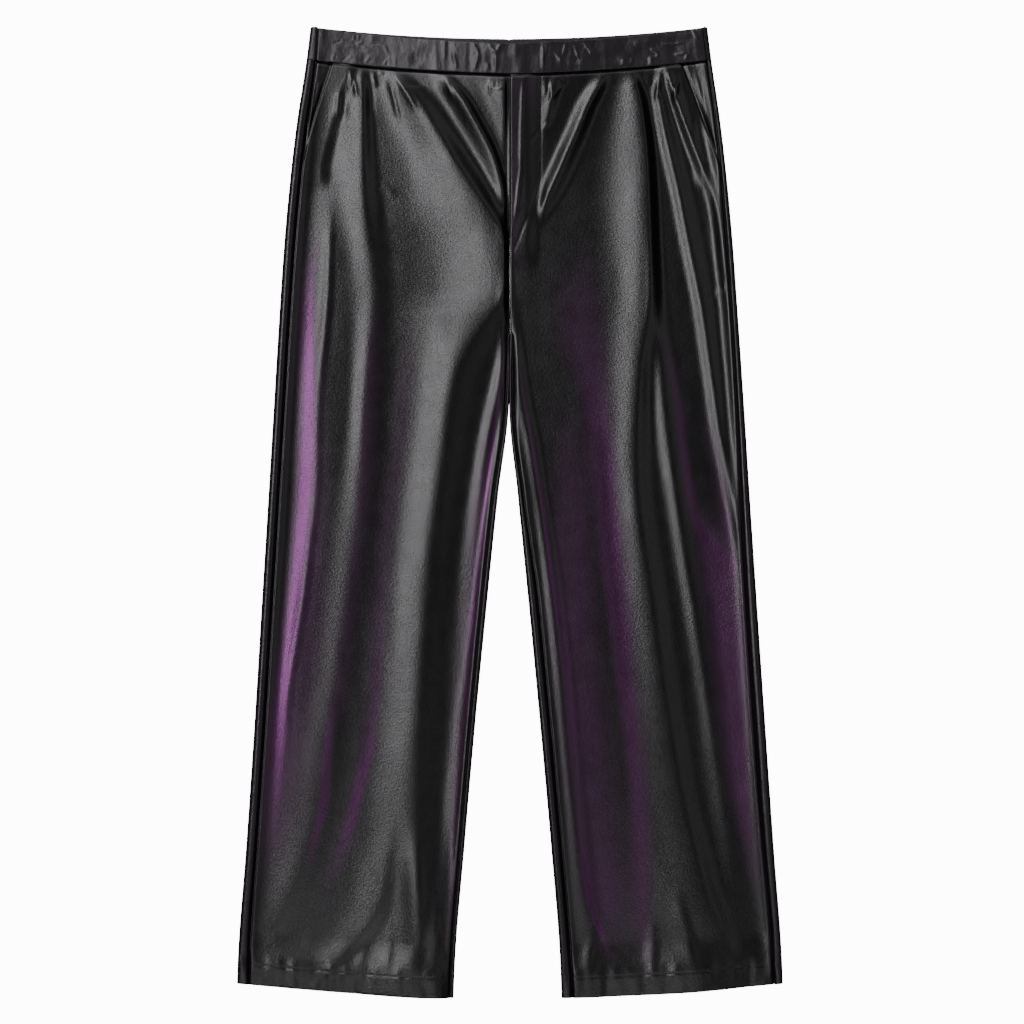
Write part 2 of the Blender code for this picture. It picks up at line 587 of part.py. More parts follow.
def pocket_facing(side, material):
    """Cloth behind the slanted pocket edge, sewn in at the outseam and the waistband."""
    s = sign(side)
    pocket = POCKETS[side]
    steps = np.linspace(0.0, 1.0, 5)
    fraction = np.linspace(0.0, 1.0, 10)[:, None]
    down = SEAM_DOWN + (pocket.end_down - SEAM_DOWN) * fraction
    for _ in range(4):
        outer = seam_across(side, "out", down) - s * SEAM_GAP / 2
        inner = pocket_line(side, down) - s * POCKET_UNDERLAP
        across = inner + (outer - inner) * steps
        top = waist_seam(across) + SEAM_GAP / 2
        down = top + (pocket.end_down - top) * fraction

    def height(a, d):
        return face(side, a, d)

    low = wall_below(height, across, down, CLOTH)
    return shell(f"pocket_facing_{side}", placed(across, down, height(across, down)),
                 placed(across, down, low), material)


for existing in list(bpy.data.objects):
    bpy.data.objects.remove(existing)

outer_leather = leather("faux_leather", COLOURS["leather"])
facing_leather = leather("faux_leather_facing", COLOURS["facing"])
for leg in ("right", "left"):
    back_panel(leg, outer_leather)
    pocket_facing(leg, facing_leather)
    front_panel(leg, outer_leather)
back_waistband(outer_leather)
front_waistband(outer_leather)
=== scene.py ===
from collections import namedtuple

import bpy
import numpy as np
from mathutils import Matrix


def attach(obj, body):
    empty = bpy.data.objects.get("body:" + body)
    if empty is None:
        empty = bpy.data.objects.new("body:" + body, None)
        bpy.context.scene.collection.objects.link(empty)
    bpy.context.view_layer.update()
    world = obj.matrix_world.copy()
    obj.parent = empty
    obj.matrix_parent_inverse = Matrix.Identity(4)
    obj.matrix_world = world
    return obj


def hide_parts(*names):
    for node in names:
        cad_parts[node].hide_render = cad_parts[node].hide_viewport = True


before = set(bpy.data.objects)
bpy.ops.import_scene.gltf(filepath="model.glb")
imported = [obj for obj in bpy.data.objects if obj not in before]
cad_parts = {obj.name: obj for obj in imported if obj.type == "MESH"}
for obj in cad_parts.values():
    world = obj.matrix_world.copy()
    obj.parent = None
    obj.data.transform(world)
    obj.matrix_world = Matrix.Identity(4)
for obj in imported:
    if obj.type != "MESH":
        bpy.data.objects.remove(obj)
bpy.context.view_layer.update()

# ---- Camera --------------------
# The photo looks straight down on the trousers through a long lens, waist at the top. The frame
# is a little wider than the garment is long.
LENS, SENSOR = 85.0, 36.0           # millimetres
FRAME_WIDTH = 1.0957                # metres of the table across the photo
FRAME_CENTRE = (0.0022, 0.0006)
FACE_LEVEL = 0.007                  # where that width is measured, above the table


def in_scene(name, data):
    """A new object of the scene, at the origin."""
    thing = bpy.data.objects.new(name, data)
    bpy.context.scene.collection.objects.link(thing)
    return thing


camera = in_scene("camera", bpy.data.cameras.new("camera"))
camera.data.lens = LENS
camera.data.sensor_width = SENSOR
camera.location = (*FRAME_CENTRE, FACE_LEVEL + FRAME_WIDTH * LENS / SENSOR)
bpy.context.scene.camera = camera


# ---- Table and studio light --------------------
# The garment lies on a plain white board, lit from below too. A long softbox hangs over the
# wearer's right side, towards the waist, and a weaker one faces it; flat cloth reflects the dark
# room between them. A dim one hangs beyond the hems, and two low lamps wash over the board.
TABLE_WHITE = (0.88, 0.88, 0.885, 1.0)
TABLE_ROUGH, TABLE_SHINE, TABLE_GLOW = 0.9, 0.1, 14.0
TABLE_HALF = 3.0
ROOM, ROOM_STRENGTH = (0.9, 0.92, 1.0, 1.0), 0.008
Softbox = namedtuple("Softbox", "name place width length watts colour")
SOFTBOXES = [
    Softbox("softbox_key", (-1.25, 1.55, 3.0), 0.60, 5.2, 135.0, (1.0, 0.975, 1.0)),
    Softbox("softbox_fill", (1.8, 0.9, 3.0), 1.00, 5.6, 15.0, (1.0, 0.98, 1.0)),
    Softbox("softbox_hems", (-0.1, -1.6, 3.0), 1.60, 1.0, 10.0, (1.0, 0.97, 1.0)),
]
WASH_WATTS, WASH_TILT, WASH_SPREAD = 0.5, 66.0, 50.0     # W/m2, and degrees


def finish_of(name, colour, rough):
    """A material of one colour, and its Principled surface."""
    material = bpy.data.materials.new(name)
    material.use_nodes = True
    surface = material.node_tree.nodes["Principled BSDF"]
    surface.inputs["Base Color"].default_value = colour
    surface.inputs["Roughness"].default_value = rough
    return material, surface


def lamp(name, kind, energy, **settings):
    """A lamp of the scene, with its other settings by name."""
    light = bpy.data.lights.new(name, kind)
    light.energy = energy
    for setting, value in settings.items():
        setattr(light, setting, value)
    return in_scene(name, light)


table_mesh = bpy.data.meshes.new("table")
corners = [(-1, -1), (1, -1), (1, 1), (-1, 1)]
table_mesh.from_pydata([(x * TABLE_HALF, y * TABLE_HALF, 0.0) for x, y in corners], [],
                       [(0, 1, 2, 3)])
table = in_scene("table", table_mesh)
table_white, table_surface = finish_of("table_white", TABLE_WHITE, TABLE_ROUGH)
table_surface.inputs["Specular IOR Level"].default_value = TABLE_SHINE
table_surface.inputs["Emission Color"].default_value = TABLE_WHITE
table_surface.inputs["Emission Strength"].default_value = TABLE_GLOW
table_mesh.materials.append(table_white)
table.visible_glossy = False        # its glow would draw white lines round every rolled edge

for box in SOFTBOXES:
    light = lamp(box.name, "AREA", box.watts, shape="RECTANGLE", size=box.width,
                 size_y=box.length, color=box.colour)
    light.location = box.place
    slant = np.hypot(box.place[1], box.place[2])
    light.rotation_euler = (-np.arctan2(box.place[1], box.place[2]),
                            np.arctan2(box.place[0], slant), 0.0)

for name, turn in (("wash_waist", -1.0), ("wash_hems", 1.0)):
    light = lamp(name, "SUN", WASH_WATTS, angle=np.radians(WASH_SPREAD))
    light.rotation_euler = (turn * np.radians(WASH_TILT), 0.0, 0.0)

world = bpy.data.worlds.new("studio_room")
world.use_nodes = True
world.node_tree.nodes["Background"].inputs["Color"].default_value = ROOM
world.node_tree.nodes["Background"].inputs["Strength"].default_value = ROOM_STRENGTH
bpy.context.scene.world = world


# ---- Fronts --------------------
# Two fronts of coated cloth, sewn together down the fly, where the left one laps over the right.
# They lie on the backs in long soft folds, which the waistband gathers and which run out down
# the legs.

# Places are in millimetres: `down` from the top of the waistband's sides, and `across` from the
# centre line, towards the wearer's left where it is positive.
MM = 0.001
LENGTH = 1040.0
CLOTH = 1.3
SEAM_GAP = 0.3
CLOSED_GAP = 0.02                   # where the table would shine through a wider one
CROTCH = 324.0
CROTCH_LAP = 4.0                    # the fronts cover the corner where the four seams meet
LEG_START = CROTCH - 0.5
HALF_WAIST = 209.0
SEAM_DOWN, SEAM_DIP = 52.0, 15.7
HEM_DEPTH, HEM_BEND = 22.0, 4.0     # the doubled hem eases into single cloth over its bend
HEM_FLAT, HEM_SPAN, HEM_RISE = 60.0, 233.0, 15.8
VALLEY = 3.2
WAIST_LIFT, WAIST_REACH = 3.3, 45.0
MOUTH_LIFT, MOUTH_WIDTH, MOUTH_REACH = 8.6, 96.0, 80.0
HEM_LIFT, HEM_LIFT_REACH = 3.0, 60.0
OUT_SHOULDER, IN_SHOULDER = 11.0, 9.0
GROOVE, GROOVE_WIDTH, GROOVE_SPARE = 1.0, 2.2, 0.4
FLY_WIDTH, FLY_END, FLY_UNDERLAP = 33.0, 236.0, 12.0
UNDERLAP_TAPER, UNDERLAP_END = 176.0, 218.0
FLY_STITCH = 32.8
STITCH_DIP, STITCH_WIDTH = 0.3, 1.3
HEM_STITCH_DIP = 0.14               # the doubled hem gives less under its stitches
POCKET_UNDERLAP = 15.0
OVERLAY = 2.1                       # how far a facing or an underlap lifts the front above it
FACING_EASE, FACING_END = (3.0, 17.0), (6.0, 30.0)
FLY_EASE, FLY_RUNOUT = 4.0, 30.0
LIP, LIP_WIDTH = 0.9, 1.0           # cloth rounds down into each seam
DIVE, DIVE_WIDTH = 2.3, 2.8         # and dives under the waistband
HEM_ROUND, HEM_ROUND_WIDTH = 0.8, 1.1
PUCKER, PUCKER_FADE = 0.7, 16.0
CRUMPLE = 0.12
CLOTH_CRUMPLE, HEM_CRUMPLE = (15.0, 46.0, 7), (8.0, 26.0, 11)    # wide, long and the seed
LATTICE = 400                       # points of a crumple's lattice, each way
LATTICE_START = 5.0                 # its row at the top of the trousers
CRISP = 1.35                        # how much of a fold's slope is close to its crest
SOFTEN = 16.0                       # a crest's table is averaged over this far up and down
CREASE_END = 0.35                   # share of a crease that eases in, and of it that eases out
OUT_FADE, IN_FADE = 12.0, (1.0, 10.0)    # folds grow over this far in from the edges,
LEG_FADE = (-10.0, 15.0)            # and at the inner one only from about the crotch down,
WAIST_FADE = (-4.0, 22.0)           # and over this far below the waistband
TORSO_FADE = 70.0                   # the folds of one front run on over the other above this
FLY_STIFF = 0.85                    # the fly's layers flatten the folds that run into it
FLY_FADE, FLY_EDGE_FADE = (-6.5, -1.0), (-6.0, 8.0)      # from the centre, and from its width
GRID_STRIDE = 4                     # the cloth's inner face is this much coarser than its outer
SHARP = 60.0                        # degrees between faces that keep a crisp edge

# The garment at some distances down: the outlines of the legs, the radii to which their outer
# and inner edges roll, and how far in from the outline each seam lies.
Section = namedtuple(
    "Section",
    "down right_out right_in left_in left_out out_roll in_roll"
    " right_outseam right_inseam left_inseam left_outseam")
SECTIONS = [Section(*row) for row in (
    (0, -213.6, -0.8, 0.2, 211.6, 4.5, 1.7, 8, 2.2, 2.2, 5),
    (38, -218.4, -0.8, 0.2, 216.3, 4.5, 1.7, 10.5, 2.2, 2.2, 5),
    (100, -228, -0.8, 0.2, 225.3, 4.5, 1.7, 12, 2.2, 2.2, 5.5),
    (200, -239.1, -0.8, 0.2, 236.1, 4.8, 1.7, 12, 2.2, 2.2, 7),
    (324, -248, -0.01, 0.01, 245.4, 5, 1.7, 12, 2.2, 2.2, 7.5),
    (404, -252.8, -0.97, -0.93, 250.8, 5, 2.6, 12, 4, 4, 8.5),
    (500, -258.6, -12.4, 8.1, 256.9, 5, 3.8, 12, 5.6, 6, 10),
    (620, -266, -24.7, 20.1, 264.9, 5, 4.4, 12, 6.4, 11, 11.5),
    (740, -273.3, -36.4, 31.5, 273.1, 5, 4.6, 12, 6, 11.3, 11.8),
    (880, -282.8, -48.7, 44.1, 282.8, 4.8, 4.4, 12, 5.2, 11.5, 11.5),
    (1000, -291.7, -58.6, 53.6, 291.6, 4.2, 3.6, 12.6, 4.2, 11.7, 10.5),
    (1040, -293, -60.3, 55.1, 293, 4, 3.4, 13, 3.8, 11.7, 10),
)]

# Where each hem stands open, how high and how wide, and how far up the leg that reaches.
Gape = namedtuple("Gape", "across height width reach")
HEM_GAPES = {"right": Gape(-101.0, 6.4, 46.0, 240.0), "left": Gape(196.0, 6.4, 44.0, 220.0)}

# The slanted edge of each pocket, from its top to its end on the outseam.
Pocket = namedtuple("Pocket", "top_down top_across end_down bow")
POCKETS = {"right": Pocket(41.4, -191.2, 148.0, 2.0), "left": Pocket(43.2, 184.8, 150.0, -0.6)}

Crest = namedtuple("Crest", "down across height left right")


def crests(**folds):
    """Each fold's crests: one reach holds on both sides, and a row with none keeps the last."""
    made = {}
    for name, rows in folds.items():
        made[name], reach = [], ()
        for down, across, height, *given in rows:
            reach = given or reach
            made[name].append(Crest(down, across, height, reach[0], reach[-1]))
    return made


# Each row is a point of a fold's crest: how far down and across it is, its height, and how far
# the fold reaches to the left and to the right of it.
RIGHT_FOLDS = crests(
    outseam=[(110, -186, 0, 20, 24), (180, -190, 1, 28, 30), (240, -193, 1.4, 30, 50),
        (292, -195, 1.5, 32, 70), (345, -200, 2, 32, 76), (400, -205, 2.4, 32, 80), (453, -206, 2.1),
        (506, -208, 1.8, 30, 80), (560, -215, 1.9), (613, -221, 2), (667, -230, 1.9, 30, 76),
        (720, -238, 1.8, 28, 72), (774, -240, 1.6, 28, 70), (828, -246, 1, 28, 60),
        (900, -254, 0, 24, 50)],
    outseam_edge=[(200, -192, 0, 10, 8), (240, -193, 0.7, 11, 8), (292, -195, 1, 12, 9),
        (345, -200, 0.7), (400, -205, 0.4), (506, -208, 0.4), (560, -215, 0.6), (613, -221, 0.8),
        (667, -230, 0.6), (720, -238, 0.4), (774, -240, 0)],
    front_crease=[(48, -160, 2, 14), (70, -158, 3.6, 36, 14), (100, -158, 4.6, 44, 16),
        (130, -158, 4.8, 44, 18), (160, -158, 4.6, 42, 22), (200, -156, 4, 38, 26),
        (245, -150, 2.8, 32, 28), (292, -146, 2.1, 30), (345, -151, 2.2, 24, 34),
        (400, -156, 2.4, 20, 36), (453, -158, 2.1, 24, 36), (506, -161, 1.7, 30, 36),
        (560, -167, 1.7, 33, 36), (613, -174, 1.8, 34, 36), (667, -182, 1.8),
        (720, -190, 1.8, 36, 34), (774, -197, 1.9, 46, 32), (828, -206, 2, 52, 30),
        (880, -220, 2, 46, 30), (934, -237, 1.7, 36, 28), (985, -256, 0, 26, 24)],
    thigh=[(48, -126, 2, 16, 14), (60, -116, 3.4, 26, 20), (80, -99, 5, 38, 24),
        (100, -86, 6, 44, 24), (120, -74, 6.8, 50, 24), (140, -62, 7.4, 58, 24),
        (160, -49, 8, 66, 26), (180, -36, 8.4, 76, 24), (200, -20, 8.8, 90, 20),
        (218, -9, 9, 101, 15), (240, -6, 9, 103, 12), (285, -6, 9, 103, 14), (300, -14, 8.4, 94, 26),
        (315, -28, 7.4, 80, 38), (328, -38, 6.6, 71, 44), (341, -47, 6.2, 63, 46),
        (357, -55, 5.8, 57, 46), (400, -65, 5.2, 49, 44), (453, -72, 4.8, 46, 40), (506, -79, 4.4),
        (560, -86, 4.1, 48, 40), (613, -91, 4, 50, 42), (667, -95, 4.2, 52, 42), (720, -98, 4.4),
        (774, -101, 4.5, 56, 42), (828, -103, 4.5, 61, 42), (880, -99, 3.6, 58, 42),
        (934, -91, 2.6, 50, 40), (970, -88, 1.6, 44, 36), (1005, -86, 0, 40, 30)],
    inseam=[(262, -5, 0, 12, 8), (290, -6, 0.9), (320, -6, 1.2), (340, -7, 1.3, 12, 9),
        (360, -9, 1.4, 12, 10), (380, -12, 1.5, 13, 11), (400, -16, 1.6, 14, 12),
        (440, -24, 1.7, 15, 13), (480, -30, 1.7, 16, 14), (520, -35, 1.5, 18, 15),
        (600, -43, 1, 20, 16), (700, -50, 0.9), (760, -56, 1.1, 18, 16), (820, -62, 1.2, 16, 14),
        (900, -69, 1.1, 16), (980, -75, 0.4)],
    fly_fold=[(48, -76, 2.4, 16, 10), (55, -70, 3.4, 18, 11), (66, -60, 4.4, 20, 12),
        (80, -49, 5, 22, 12), (98, -40, 5, 23, 12), (117, -28, 4.8, 24, 11), (135, -19, 4.4, 24, 10),
        (157, -12, 3.8, 22, 9), (190, -6, 2.6, 16, 8), (222, -3, 0, 12, 7)],
    fly_gather=[(48, -6, 3.4, 44, 6), (57, -6, 3.6, 40, 6), (72, -6, 3.2, 30, 6),
        (85, -6, 2.6, 22, 6), (102, -6, 1.8, 14, 6), (125, -6, 0, 8, 5)],
    hem_outer=[(850, -128, 0, 30, 16), (890, -134, 1, 40, 18), (934, -140, 1.6, 48, 20),
        (960, -152, 1.9, 42, 20), (985, -172, 1.6, 32, 18), (1005, -190, 0.8, 24, 14),
        (1018, -200, 0, 18, 12)],
    hem_middle=[(860, -101, 0, 20, 14), (900, -100, 1.6, 24, 16), (960, -98, 2.4, 28, 16),
        (1000, -104, 1, 22, 14), (1018, -108, 0, 18, 12)],
    hem_inner=[(940, -80, 0, 14, 10), (975, -79, 1.6, 18, 10), (1000, -80, 1, 16, 10),
        (1016, -82, 0, 12, 8)],
    hem_fingers=[(960, -150, 0, 14, 10), (985, -156, 0.8, 18, 12), (1008, -162, 0, 12, 8)],
    hem_tip=[(965, -128, 0, 14, 10), (990, -130, 0.7, 16, 12), (1010, -134, 0, 12, 8)],
)
LEFT_FOLDS = crests(
    inseam=[(300, 3, 0, 8, 10), (340, 6, 1.6, 10, 12), (380, 10, 2.4, 13, 14), (400, 12, 2.8, 15),
        (440, 20, 3.2, 17, 16), (480, 26, 3.3, 18, 16), (520, 32, 3.4, 19, 16),
        (560, 38, 3.5, 20, 17), (600, 43, 3.5, 20, 18), (640, 48, 3.5, 21, 18),
        (700, 54, 3.4, 21, 19), (780, 61, 3.2, 21, 20), (860, 69, 3, 22), (920, 75, 2.4, 23, 26),
        (985, 84, 0.4, 24, 30)],
    thigh=[(48, 128, 2, 14, 10), (60, 134, 3.6, 24, 12), (80, 139, 5, 38, 13), (100, 142, 6, 48, 14),
        (140, 146, 6.8, 58, 15), (185, 148, 7.2, 64, 16), (240, 149, 6.6, 60, 18),
        (292, 148, 5.8, 56, 20), (345, 141, 5, 49, 22), (400, 136, 4.4, 44, 24),
        (453, 134, 4, 38, 26), (506, 136, 3.8, 36, 27), (560, 143, 3.8, 39, 28),
        (613, 151, 3.8, 42, 28), (667, 158, 3.8, 45, 28), (720, 165, 3.8, 50, 28),
        (774, 174, 3.8, 57, 28), (828, 183, 3.8, 64, 28), (880, 196, 3.6, 74, 26),
        (934, 211, 3, 80, 24), (960, 222, 2.2, 70, 22), (995, 240, 0, 40, 14)],
    second=[(225, 152, 0, 12), (260, 155, 1, 14), (300, 157, 1.8, 16, 17), (345, 160, 2.4, 18, 20),
        (400, 165, 2.6, 20, 24), (453, 171, 2.6, 19, 25), (506, 179, 2.4, 18, 25), (560, 187, 2.3),
        (613, 196, 2.3), (667, 204, 2), (720, 212, 1.9), (774, 219, 1.7, 19, 24),
        (828, 227, 1.4, 20, 22), (880, 234, 0.9, 20), (940, 241, 0, 20, 18)],
    pocket_fold=[(48, 158, 1.6, 10, 9), (75, 160, 2.8, 13, 14), (100, 164, 3, 14, 16),
        (135, 172, 3, 14, 18), (170, 180, 3, 14, 20), (225, 191, 3, 15, 22), (265, 199, 3, 15, 24),
        (305, 207, 3), (340, 212, 3, 16, 22), (380, 218, 3, 16, 20), (420, 223, 2.8, 16, 18),
        (460, 230, 2.6, 15, 16), (500, 237, 2.2, 14, 13), (540, 244, 1.2, 13, 11),
        (565, 248, 0, 12, 10)],
    pocket_outer=[(46, 167, 1.4, 9), (72, 177, 2, 12, 14), (90, 183, 2), (125, 196, 2, 12, 16),
        (150, 206, 2, 12, 14), (195, 222, 1.8, 12), (240, 228, 1.4, 12, 10), (300, 234, 0, 11, 9)],
    fly_fold=[(50, 104, 2.4, 14, 11), (68, 92, 4, 18, 13), (83, 84, 4.4, 18, 14),
        (112, 72, 4.6, 17, 16), (131, 63, 4.6, 16, 18), (158, 51, 4.4, 16, 20),
        (186, 38, 3.8, 15, 18), (203, 28, 3, 13, 15), (222, 18, 1.8, 12), (240, 11, 0, 11, 10)],
    fly_gather=[(48, 52, 1.6, 12, 10), (80, 45, 2.2, 14, 11), (115, 36, 0, 12, 11)],
    outseam=[(510, 238, 0, 40, 14), (560, 244, 2, 50, 14), (640, 250, 3, 56, 14), (742, 256, 3),
        (849, 265, 2.2, 52, 14), (930, 272, 0, 46, 14)],
    hem_outer=[(925, 178, 0, 14, 12), (955, 184, 1.2, 22, 14), (990, 194, 1.2, 20, 12),
        (1016, 202, 0, 14, 10)],
    hem_middle=[(960, 152, 0, 12, 10), (985, 153, 1.4, 16, 12), (1012, 151, 0, 12, 10)],
    hem_inner=[(965, 90, 0, 12, 10), (990, 86, 1.6, 14, 10), (1014, 82, 0, 12, 8)],
)
FOLDS = {"right": RIGHT_FOLDS, "left": LEFT_FOLDS}
OTHER = {"right": "left", "left": "right"}

Crease = namedtuple("Crease", "across down end_across end_down height left right bow",
                    defaults=(0.0,))
# Small sharp creases, from one end to the other. A negative height is a trough, and bow is how
# far the middle stands aside.
RIGHT_CREASES = [Crease(*row) for row in (
    (-170.2, 42, -170.2, 67, 1, 2, 2), (-168.2, 48, -163, 79, 0.8, 2.2, 2),
    (-183, 68, -184, 98, 0.6, 3, 2), (-177.5, 55, -177.5, 106, -0.5, 4, 4),
    (-147, 44, -143.5, 68, 1, 3, 2), (-138.5, 43, -137.2, 53, 0.8, 1.8, 1.6),
    (-149, 52, -148, 102, -0.6, 4, 3), (-134, 46, -117, 110, 0.8, 3, 1.8, 2),
    (-131.5, 46, -121, 74, 0.7, 2, 1.6, 1), (-128, 46, -97, 96, 1.1, 4, 2, 2),
    (-69.5, 54, -61, 79, 0.6, 2, 1.5), (-21.3, 52, -21.3, 76, 0.6, 1.6, 1.5),
    (-18.4, 56, -18, 70, 0.5, 1.4, 1.4), (-19, 68.5, -6.4, 68.5, 0.4, 1.4, 1.4),
    (-146, 174, -120, 181, 0.5, 2.2, 2.2, 2), (-141, 164, -121, 177, 0.3, 2, 2, -1),
    (-3.2, 40, -3, 320, -0.5, 1.3, 1.3),
)]
LEFT_CREASES = [Crease(*row) for row in (
    (15, 40, 11.5, 170, 0.6, 1.8, 2.4, -1.2), (12, 146, 4.6, 212, 0.5, 1.8, 2),
    (17, 126, 32, 112, 0.5, 1.6, 1.6), (33.5, 111, 44, 101, 0.5, 1.6, 1.6),
    (37, 50, 37, 79, 0.7, 2, 2, 0.5), (43.5, 56, 43.8, 82, 0.7, 2, 2, 0.5),
    (51, 54, 58.5, 62, 0.6, 1.8, 1.8, 1), (57.5, 62, 67, 53, 0.6, 1.8, 1.8, 1),
    (67, 55, 38.5, 86, 0.7, 2.2, 2.2, -2), (163, 42, 155, 84, 0.8, 2.2, 2.2),
    (150, 42, 148, 67, 0.9, 6, 3), (184.5, 48, 174.5, 86, 0.7, 2.2, 2.2, -1.5),
    (193, 76, 199.5, 126, 0.5, 3.4, 3.4, 1.5), (211, 287, 222, 287, -0.5, 1.8, 1.8),
    (216, 285.5, 230, 281.5, 0.6, 1.5, 1.5), (229, 274, 229, 283, 0.4, 1.2, 1.2),
)]
CREASES = {"right": RIGHT_CREASES, "left": LEFT_CREASES}

# Where a purple reflection is painted into the cloth's colour: the same kind of rows, with a
# strength from 0 to 1 as the height.
RIGHT_PAINTED_REFLECTION = crests(
    outseam=[(215, -205, 0, 8), (260, -212, 0.45, 14, 9), (325, -215, 0.6, 16, 10),
        (400, -214, 0.7, 18, 9), (460, -216, 0.9, 18, 10), (528, -222, 1), (613, -230, 1, 18, 11),
        (660, -236, 1, 18, 12), (742, -246, 0.85, 18, 14), (810, -250, 0.5), (890, -256, 0)],
    outseam_wide=[(230, -212, 0, 20), (330, -214, 0.35, 24), (506, -214, 0.5, 26, 30),
        (613, -220, 0.45, 30, 44), (720, -234, 0.4, 30, 52), (828, -248, 0.35, 28, 50),
        (930, -258, 0, 24)],
    crease_edge=[(690, -184, 0, 8), (740, -191, 0.4, 9, 8), (780, -196, 0.9, 10, 9),
        (830, -199, 1, 10), (860, -206, 0.7), (895, -215, 0, 9)],
    valley=[(735, -148, 0, 10), (780, -152, 0.5, 12, 11), (805, -159, 1, 14, 12), (835, -166, 1),
        (860, -172, 0.8, 15, 13), (890, -182, 0.4, 16, 14), (930, -200, 0)],
    inseam_line=[(345, -6, 0, 3), (372, -9, 0.5), (420, -14.5, 0.8, 3.4), (455, -19, 1, 3.6),
        (490, -23.5, 1), (520, -27.5, 1), (555, -30.5, 1), (590, -34.5, 0.9), (640, -40.5, 0.8),
        (690, -44.5, 0.7), (740, -48.5, 0.5, 3.4), (800, -55, 0.4), (850, -60, 0.4), (970, -67, 0.2),
        (1005, -70, 0, 3)],
    inseam_wide=[(400, -18, 0, 12), (500, -30, 0.35, 16), (640, -44, 0.3), (800, -58, 0.15, 14),
        (950, -68, 0)],
    crease_side=[(300, -148, 0, 10, 16), (340, -150, 0.2, 10, 18), (500, -160, 0.25, 12, 22),
        (620, -174, 0.25, 12, 24), (700, -182, 0.2), (770, -190, 0, 12, 20)],
    thigh_side=[(320, -110, 0, 18, 14), (400, -112, 0.2, 20, 14), (560, -132, 0.25, 22, 14),
        (700, -142, 0.4), (760, -148, 0.4, 20, 14), (820, -160, 0, 18, 14)],
)
LEFT_PAINTED_REFLECTION = crests(
    shade=[(400, 60, 0, 30), (480, 66, 0.3, 34, 40), (600, 66, 0.5, 36, 46), (720, 74, 0.5, 36, 50),
        (828, 86, 0.45, 36, 54), (934, 100, 0.55, 34, 50), (985, 110, 0, 30, 40)],
    thigh=[(240, 78, 0, 40, 30), (300, 78, 0.3, 52, 38), (340, 82, 0.45, 46, 36),
        (378, 90, 0.65, 30, 26), (448, 98, 0.9, 24, 26), (500, 103, 1, 22, 26), (560, 108, 1, 20, 28),
        (620, 114, 1, 18, 28), (680, 120, 1, 16, 26), (760, 130, 0.8, 16, 24),
        (865, 139, 0.6, 18, 24), (945, 141, 0.45, 20, 22), (1010, 144, 0, 18, 20)],
    inseam_line=[(360, 10, 0, 3, 4), (400, 16, 0.3, 3.4, 4), (450, 24, 0.5, 3.6, 4.4), (517, 36, 0.7),
        (570, 42, 1, 3.8, 4.4), (600, 46, 1), (655, 57, 1), (700, 62, 0.9), (745, 68, 0.6),
        (790, 71, 0.4), (870, 76, 0.4), (905, 80, 1, 5, 8), (945, 88, 1), (970, 97, 0.8),
        (1000, 108, 0)],
    mottle=[(520, 208, 0, 16, 26), (560, 218, 0.7, 26, 32), (600, 226, 0.9, 30, 32),
        (700, 238, 0.85, 30, 28), (780, 245, 0.8, 26, 22), (850, 253, 0.6, 20, 16),
        (900, 262, 0.2, 12), (930, 266, 0, 10)],
    arc=[(335, 168, 0, 9), (400, 180, 0.4, 10), (480, 190, 0.5), (510, 195, 0.6), (540, 205, 0.7, 12),
        (565, 222, 0.6, 16, 14), (585, 238, 0)],
    outer=[(400, 205, 0, 10, 12), (480, 224, 0.3, 12, 14), (560, 236, 0.4, 12),
        (600, 242, 0, 12, 10)],
    fly=[(40, 8, 0.1, 12, 8), (200, 6, 0.1, 10, 8), (300, 3, 0, 8, 6)],
    waist=[(44, 22, 0.15, 14), (62, 22, 0.15, 16), (78, 22, 0, 14)],
)
PAINTED_REFLECTIONS = {"right": RIGHT_PAINTED_REFLECTION, "left": LEFT_PAINTED_REFLECTION}

FLY_CURVE_DOWN = [40, 159, 172, 187, 200, 213, 229, 240]
FLY_CURVE_ACROSS = [FLY_STITCH, FLY_STITCH, 29.8, 25.4, 20.0, 14.4, 8.4, 3.0]


def ease(start, end, value):
    """Rise from 0 at start to 1 at end with level ends: 3 t squared less 2 t cubed."""
    t = np.clip((value - start) / (end - start), 0.0, 1.0)
    return t * t * (3.0 - 2.0 * t)


def bell(off, width):
    """1 at off = 0, falling away as exp(-(off / width) squared)."""
    return np.exp(-((off / width) ** 2))


def through(places, values, at):
    """Piecewise cubic through a row of values, its slopes held so that it never overshoots."""
    places, values = np.asarray(places, float), np.asarray(values, float)
    step = np.diff(values) / np.diff(places)
    slope = np.gradient(values, places)
    before, after = np.r_[step[0], step], np.r_[step, step[-1]]
    limit = 3.0 * np.minimum(abs(before), abs(after))
    slope = np.where(before * after > 0.0, np.clip(slope, -limit, limit), 0.0)
    at = np.clip(at, places[0], places[-1])
    i = np.clip(np.searchsorted(places, at, side="right") - 1, 0, len(places) - 2)
    width = places[i + 1] - places[i]
    t = (at - places[i]) / width
    return ((2 * t**3 - 3 * t**2 + 1) * values[i] + (t**3 - 2 * t**2 + t) * width * slope[i]
            + (3 * t**2 - 2 * t**3) * values[i + 1] + (t**3 - t**2) * width * slope[i + 1])


def section(column, down):
    """One column of the section table, at any distance down."""
    return through([s.down for s in SECTIONS], [getattr(s, column) for s in SECTIONS], down)


def waist_seam(across):
    """Distance down of the waistband's seam: it rises to the sides as across to the power 1.5."""
    return SEAM_DOWN - SEAM_DIP * np.minimum(abs(across) / HALF_WAIST, 1.0) ** 1.5


def hem(across):
    """Distance down of the hem's edge, level near the inseam and rising to the outseam."""
    outwards = np.clip((abs(across) - HEM_FLAT) / HEM_SPAN, 0.0, 1.0)
    return LENGTH - HEM_RISE * outwards ** 1.5


def fly_line(down):
    """Distance across of the fly's stitching: straight down, then in to the centre seam."""
    return through(FLY_CURVE_DOWN, FLY_CURVE_ACROSS, down)


